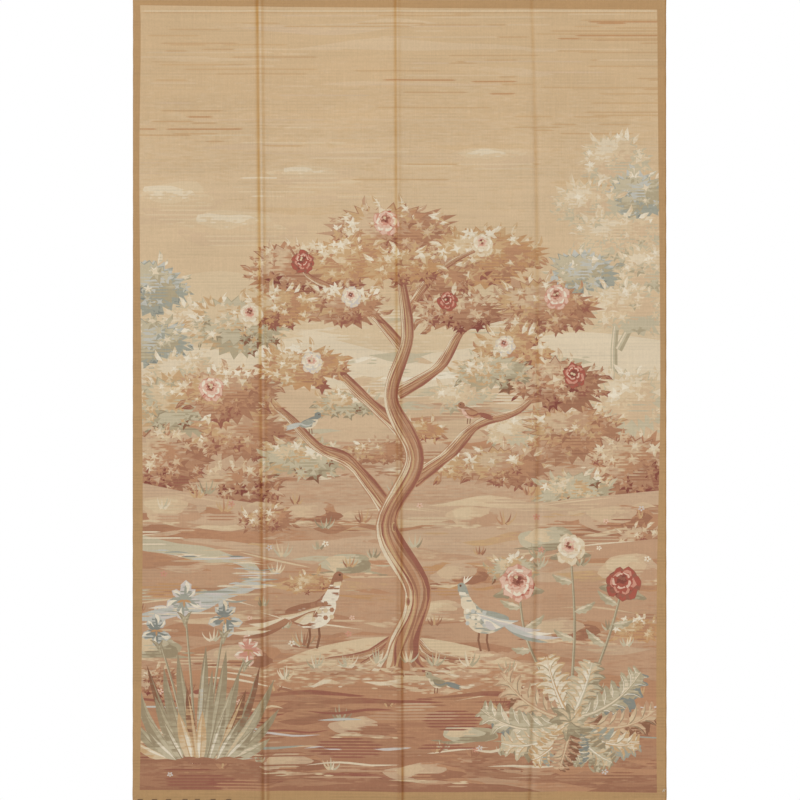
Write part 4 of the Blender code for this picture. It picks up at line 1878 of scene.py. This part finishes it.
def painted_fold_shading(tree, down, wander):
    """The painted shade and painted highlight along the creases, as a factor of each of the yarn's three
    channels.
    """
    lower = map_range(tree, down, *FOLD_CHANGE, 0.0, 1.0)
    fold_shading = 0.0
    for line in PAINTED_FOLD_LINES:
        offset = math_node(tree, "SUBTRACT", attribute(tree, f"fold_{line.crease}"), line.offset)
        share = math_node(tree, "DIVIDE", offset, line.reach)
        bell = math_node(tree, "EXPONENT", times(tree, times(tree, share, share), -1.0))
        strength = times(tree, map_range(tree, lower, 0.0, 1.0, line.above, line.below), wander)
        fold_shading = math_node(tree, "MULTIPLY_ADD", bell, strength, fold_shading)
    tints = (map_range(tree, lower, 0.0, 1.0, above, below) for above, below in zip(*FOLD_SHADE_TINTS))
    return combine(tree, *(math_node(tree, "MULTIPLY_ADD", fold_shading, tint, 1.0) for tint in tints))


def wool_material(width, drop):
    """Woven wool: two yarns hatched by rows, uneven dye, painted shade and highlight on the creases, and the
    weave's ribs and rows.
    """
    material = bpy.data.materials.new("woven_wool")
    material.use_nodes = True
    tree = material.node_tree
    shader = tree.nodes["Principled BSDF"]
    place = add_node(tree, "ShaderNodeTexCoord").outputs["Object"]
    split = add_node(tree, "ShaderNodeSeparateXYZ")
    tree.links.new(place, split.inputs[0])
    across, _, up = split.outputs
    row = math_node(tree, "FLOOR", math_node(tree, "DIVIDE", up, WEFT))

    def row_noise(scale, apart, layer, detail):
        """Noise that runs along each row on its own."""
        vector = combine(tree, times(tree, across, scale), times(tree, row, apart), layer)
        return noise(tree, vector, 1.0, detail)

    def stretched_noise(scale_across, scale_up, layer, detail):
        """Noise of one scale across the cloth and another up it."""
        vector = combine(tree, times(tree, across, scale_across), layer, times(tree, up, scale_up))
        return noise(tree, vector, 1.0, detail)

    # Hatching: in each row the second yarn starts and stops on its own
    streak = map_range(tree, row_noise(34.0, 7.31, 0.0, 1.0), 0.30, 0.70, 0.0, 1.0)
    soft = attribute(tree, "soft")
    spread = times(tree, soft, 2.0)
    passed = times(tree, attribute(tree, "blend"), math_node(tree, "ADD", spread, 1.0))
    passed = math_node(tree, "SUBTRACT", math_node(tree, "SUBTRACT", passed, soft), streak)
    share = math_node(tree, "ADD", math_node(tree, "DIVIDE", passed, spread), 0.5, clamp=True)
    color = mix_colors(tree, share, attribute(tree, "yarn_a", "Color"), attribute(tree, "yarn_b", "Color"))
    begins, full = (width / 2 - inset for inset in SELVEDGE)
    selvedge = map_range(tree, across, begins, full, 0.0, 1.0)
    color = mix_colors(tree, selvedge, color, yarn_color("selvedge"))

    # Uneven dye: each pattern, and how much lighter and darker it makes the yarn
    warps = stretched_noise(420.0, 14.0, 0.0, 2.0)
    rows = row_noise(5.0, 3.17, 4.0, 2.0)
    bands = stretched_noise(1.7, 40.0, 9.0, 2.0)
    patches = noise(tree, place, 3.2, 3.0)
    fuzz = noise(tree, place, 260.0, 3.0, 0.65)
    tone = 1.0
    for pattern, change in ((rows, 0.034), (bands, 0.026), (warps, 0.034), (patches, 0.028), (fuzz, 0.046)):
        tone = times(tree, tone, map_range(tree, pattern, *NOISE_RANGE, 1 - change, 1 + change))

    # Patches in which every other row is a darker yarn, with ragged ends
    down = map_range(tree, up, 0.0, -drop, 0.0, 1.0)
    ragged = math_node(tree, "MULTIPLY_ADD", streak, 0.10, stretched_noise(6.0, 22.0, 3.0, 1.0))
    patch = map_range(tree, ragged, 0.53, 0.59, 0.0, 1.0)
    hatched = times(tree, patch, math_node(tree, "FLOORED_MODULO", row, 2.0))
    darker = times(tree, hatched, map_range(tree, down, 0.0, 1.0, *HATCHING))
    tone = times(tree, tone, math_node(tree, "SUBTRACT", 1.0, darker))
    color = mix_colors(tree, 1.0, color, combine(tree, tone, tone, tone), "MULTIPLY")
    # Painted shade and painted highlight along the creases, a little stronger or weaker along each line
    wander = map_range(tree, noise(tree, place, 14.0, 3.0), 0.3, 0.7, *FOLD_WANDER)
    color = mix_colors(tree, 1.0, color, painted_fold_shading(tree, down, wander), "MULTIPLY")
    tree.links.new(color, shader.inputs["Base Color"])

    rough = map_range(tree, noise(tree, place, 90.0, 2.0), 0.3, 0.7, *ROUGHNESS)
    tree.links.new(rough, shader.inputs["Roughness"])
    shader.inputs["Specular IOR Level"].default_value = SPECULAR
    shader.inputs["Sheen Weight"].default_value = SHEEN
    shader.inputs["Sheen Roughness"].default_value = SHEEN_ROUGHNESS

    # Relief of the weave: upright ribs over the warps, crossed by fine rows of weft
    ribs = math_node(tree, "SINE", times(tree, across, math.tau / WARP_RIB))
    wefts = math_node(tree, "SINE", times(tree, up, math.tau / (WEFT / 4)))
    weave = math_node(tree, "ADD", times(tree, ribs, 0.6), times(tree, wefts, 0.25))
    weave = math_node(tree, "ADD", weave, times(tree, warps, 1.6))
    bump = add_node(tree, "ShaderNodeBump")
    fill(tree, (bump.inputs[name] for name in ("Strength", "Distance", "Height")),
         (BUMP_STRENGTH, BUMP_DEPTH, weave))
    tree.links.new(bump.outputs["Normal"], shader.inputs["Normal"])
    return material


def thread_material(name, yarn):
    """Twisted sewing thread."""
    material = bpy.data.materials.new(name)
    material.use_nodes = True
    tree = material.node_tree
    shader = tree.nodes["Principled BSDF"]
    place = add_node(tree, "ShaderNodeTexCoord").outputs["Object"]
    color = yarn_color(yarn)
    dark = (*(channel * 0.6 for channel in color[:3]), 1.0)
    twist = add_node(tree, "ShaderNodeTexWave", bands_direction="DIAGONAL")
    fill(tree, (twist.inputs[name] for name in ("Vector", "Scale", "Distortion")), (place, 420.0, 1.5))
    lit = map_range(tree, twist.outputs["Fac"], 0.0, 0.6, 0.0, 1.0)
    tree.links.new(mix_colors(tree, lit, dark, color), shader.inputs["Base Color"])
    shader.inputs["Roughness"].default_value = 0.75
    shader.inputs["Sheen Weight"].default_value = 0.1
    return material


# The studio


def make_floor(level):
    """A plain pale floor that ends a little behind the cloth."""
    corners = (
        (-FLOOR_HALF, FLOOR_FRONT, level),
        (FLOOR_HALF, FLOOR_FRONT, level),
        (FLOOR_HALF, FLOOR_BACK, level),
        (-FLOOR_HALF, FLOOR_BACK, level),
    )
    mesh = bpy.data.meshes.new("studio_floor")
    mesh.from_pydata(corners, [], [(0, 1, 2, 3)])
    material = bpy.data.materials.new("pale_floor")
    material.use_nodes = True
    shader = material.node_tree.nodes["Principled BSDF"]
    shader.inputs["Base Color"].default_value = FLOOR_COLOR
    shader.inputs["Roughness"].default_value = 0.7
    mesh.materials.append(material)
    return bpy.data.objects.new("studio_floor", mesh)


def make_world():
    """Even pale light from all around, and plain white behind the cloth."""
    world = bpy.data.worlds.new("studio")
    world.use_nodes = True
    tree = world.node_tree
    background = tree.nodes["Background"]
    background.inputs["Color"].default_value = (1.0, 1.0, 1.0, 1.0)
    path = add_node(tree, "ShaderNodeLightPath")
    level = map_range(tree, path.outputs["Is Camera Ray"], 0.0, 1.0, WORLD_LIGHT, 1.0)
    tree.links.new(level, background.inputs["Strength"])
    bpy.context.scene.world = world


def make_lamp(lamp, target):
    """A soft rectangular lamp that looks at the target."""
    light = bpy.data.lights.new(lamp.name, "AREA")
    light.shape = "RECTANGLE"
    light.size, light.size_y = lamp.size
    light.energy = lamp.power
    holder = bpy.data.objects.new(lamp.name, light)
    holder.location = lamp.place
    holder.rotation_euler = (Vector(target) - Vector(lamp.place)).to_track_quat("-Z", "Y").to_euler()
    return holder


def make_camera(drop):
    """Square on to the face, which just fills the square picture from top to bottom."""
    camera = bpy.data.cameras.new("camera")
    camera.sensor_width = 36.0
    camera.lens = CLOSER * camera.sensor_width * (CAMERA_DISTANCE - HEM) / drop
    holder = bpy.data.objects.new("camera", camera)
    holder.location = (CAMERA_RIGHT, -CAMERA_DISTANCE, -drop / 2)
    holder.rotation_euler = (math.pi / 2, 0.0, 0.0)
    return holder


def main():
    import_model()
    low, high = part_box(NODE)
    width = round(high[0] - low[0], 3)
    drop = round(high[2] - low[2], 3)
    collection = bpy.context.scene.collection

    cloth = make_cloth(width, drop)
    cloth.data.materials.append(wool_material(width, drop))
    sewing = (
        ("hem_stitches", hem_stitch_paths, THREAD, "straw"),
        ("edge_stitches", edge_stitch_paths, TACKING, "brown"),
        ("loose_end", loose_end_paths, THREAD, "ivory"),
    )
    threads = []
    for name, paths, radius, yarn in sewing:
        thread = make_threads(name, paths(width, drop), radius)
        thread.data.materials.append(thread_material(name, yarn))
        threads.append(thread)
    for piece in (cloth, *threads):
        collection.objects.link(piece)
        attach(piece, "root")
    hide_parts(NODE)

    floor = make_floor(-drop - FLOOR_BELOW)
    collection.objects.link(floor)
    make_world()
    for lamp in LAMPS:
        collection.objects.link(make_lamp(lamp, (0.0, 0.0, -drop / 2)))
    camera = make_camera(drop)
    collection.objects.link(camera)
    bpy.context.scene.camera = camera
    bpy.context.scene.view_settings.view_transform = "Standard"


main()
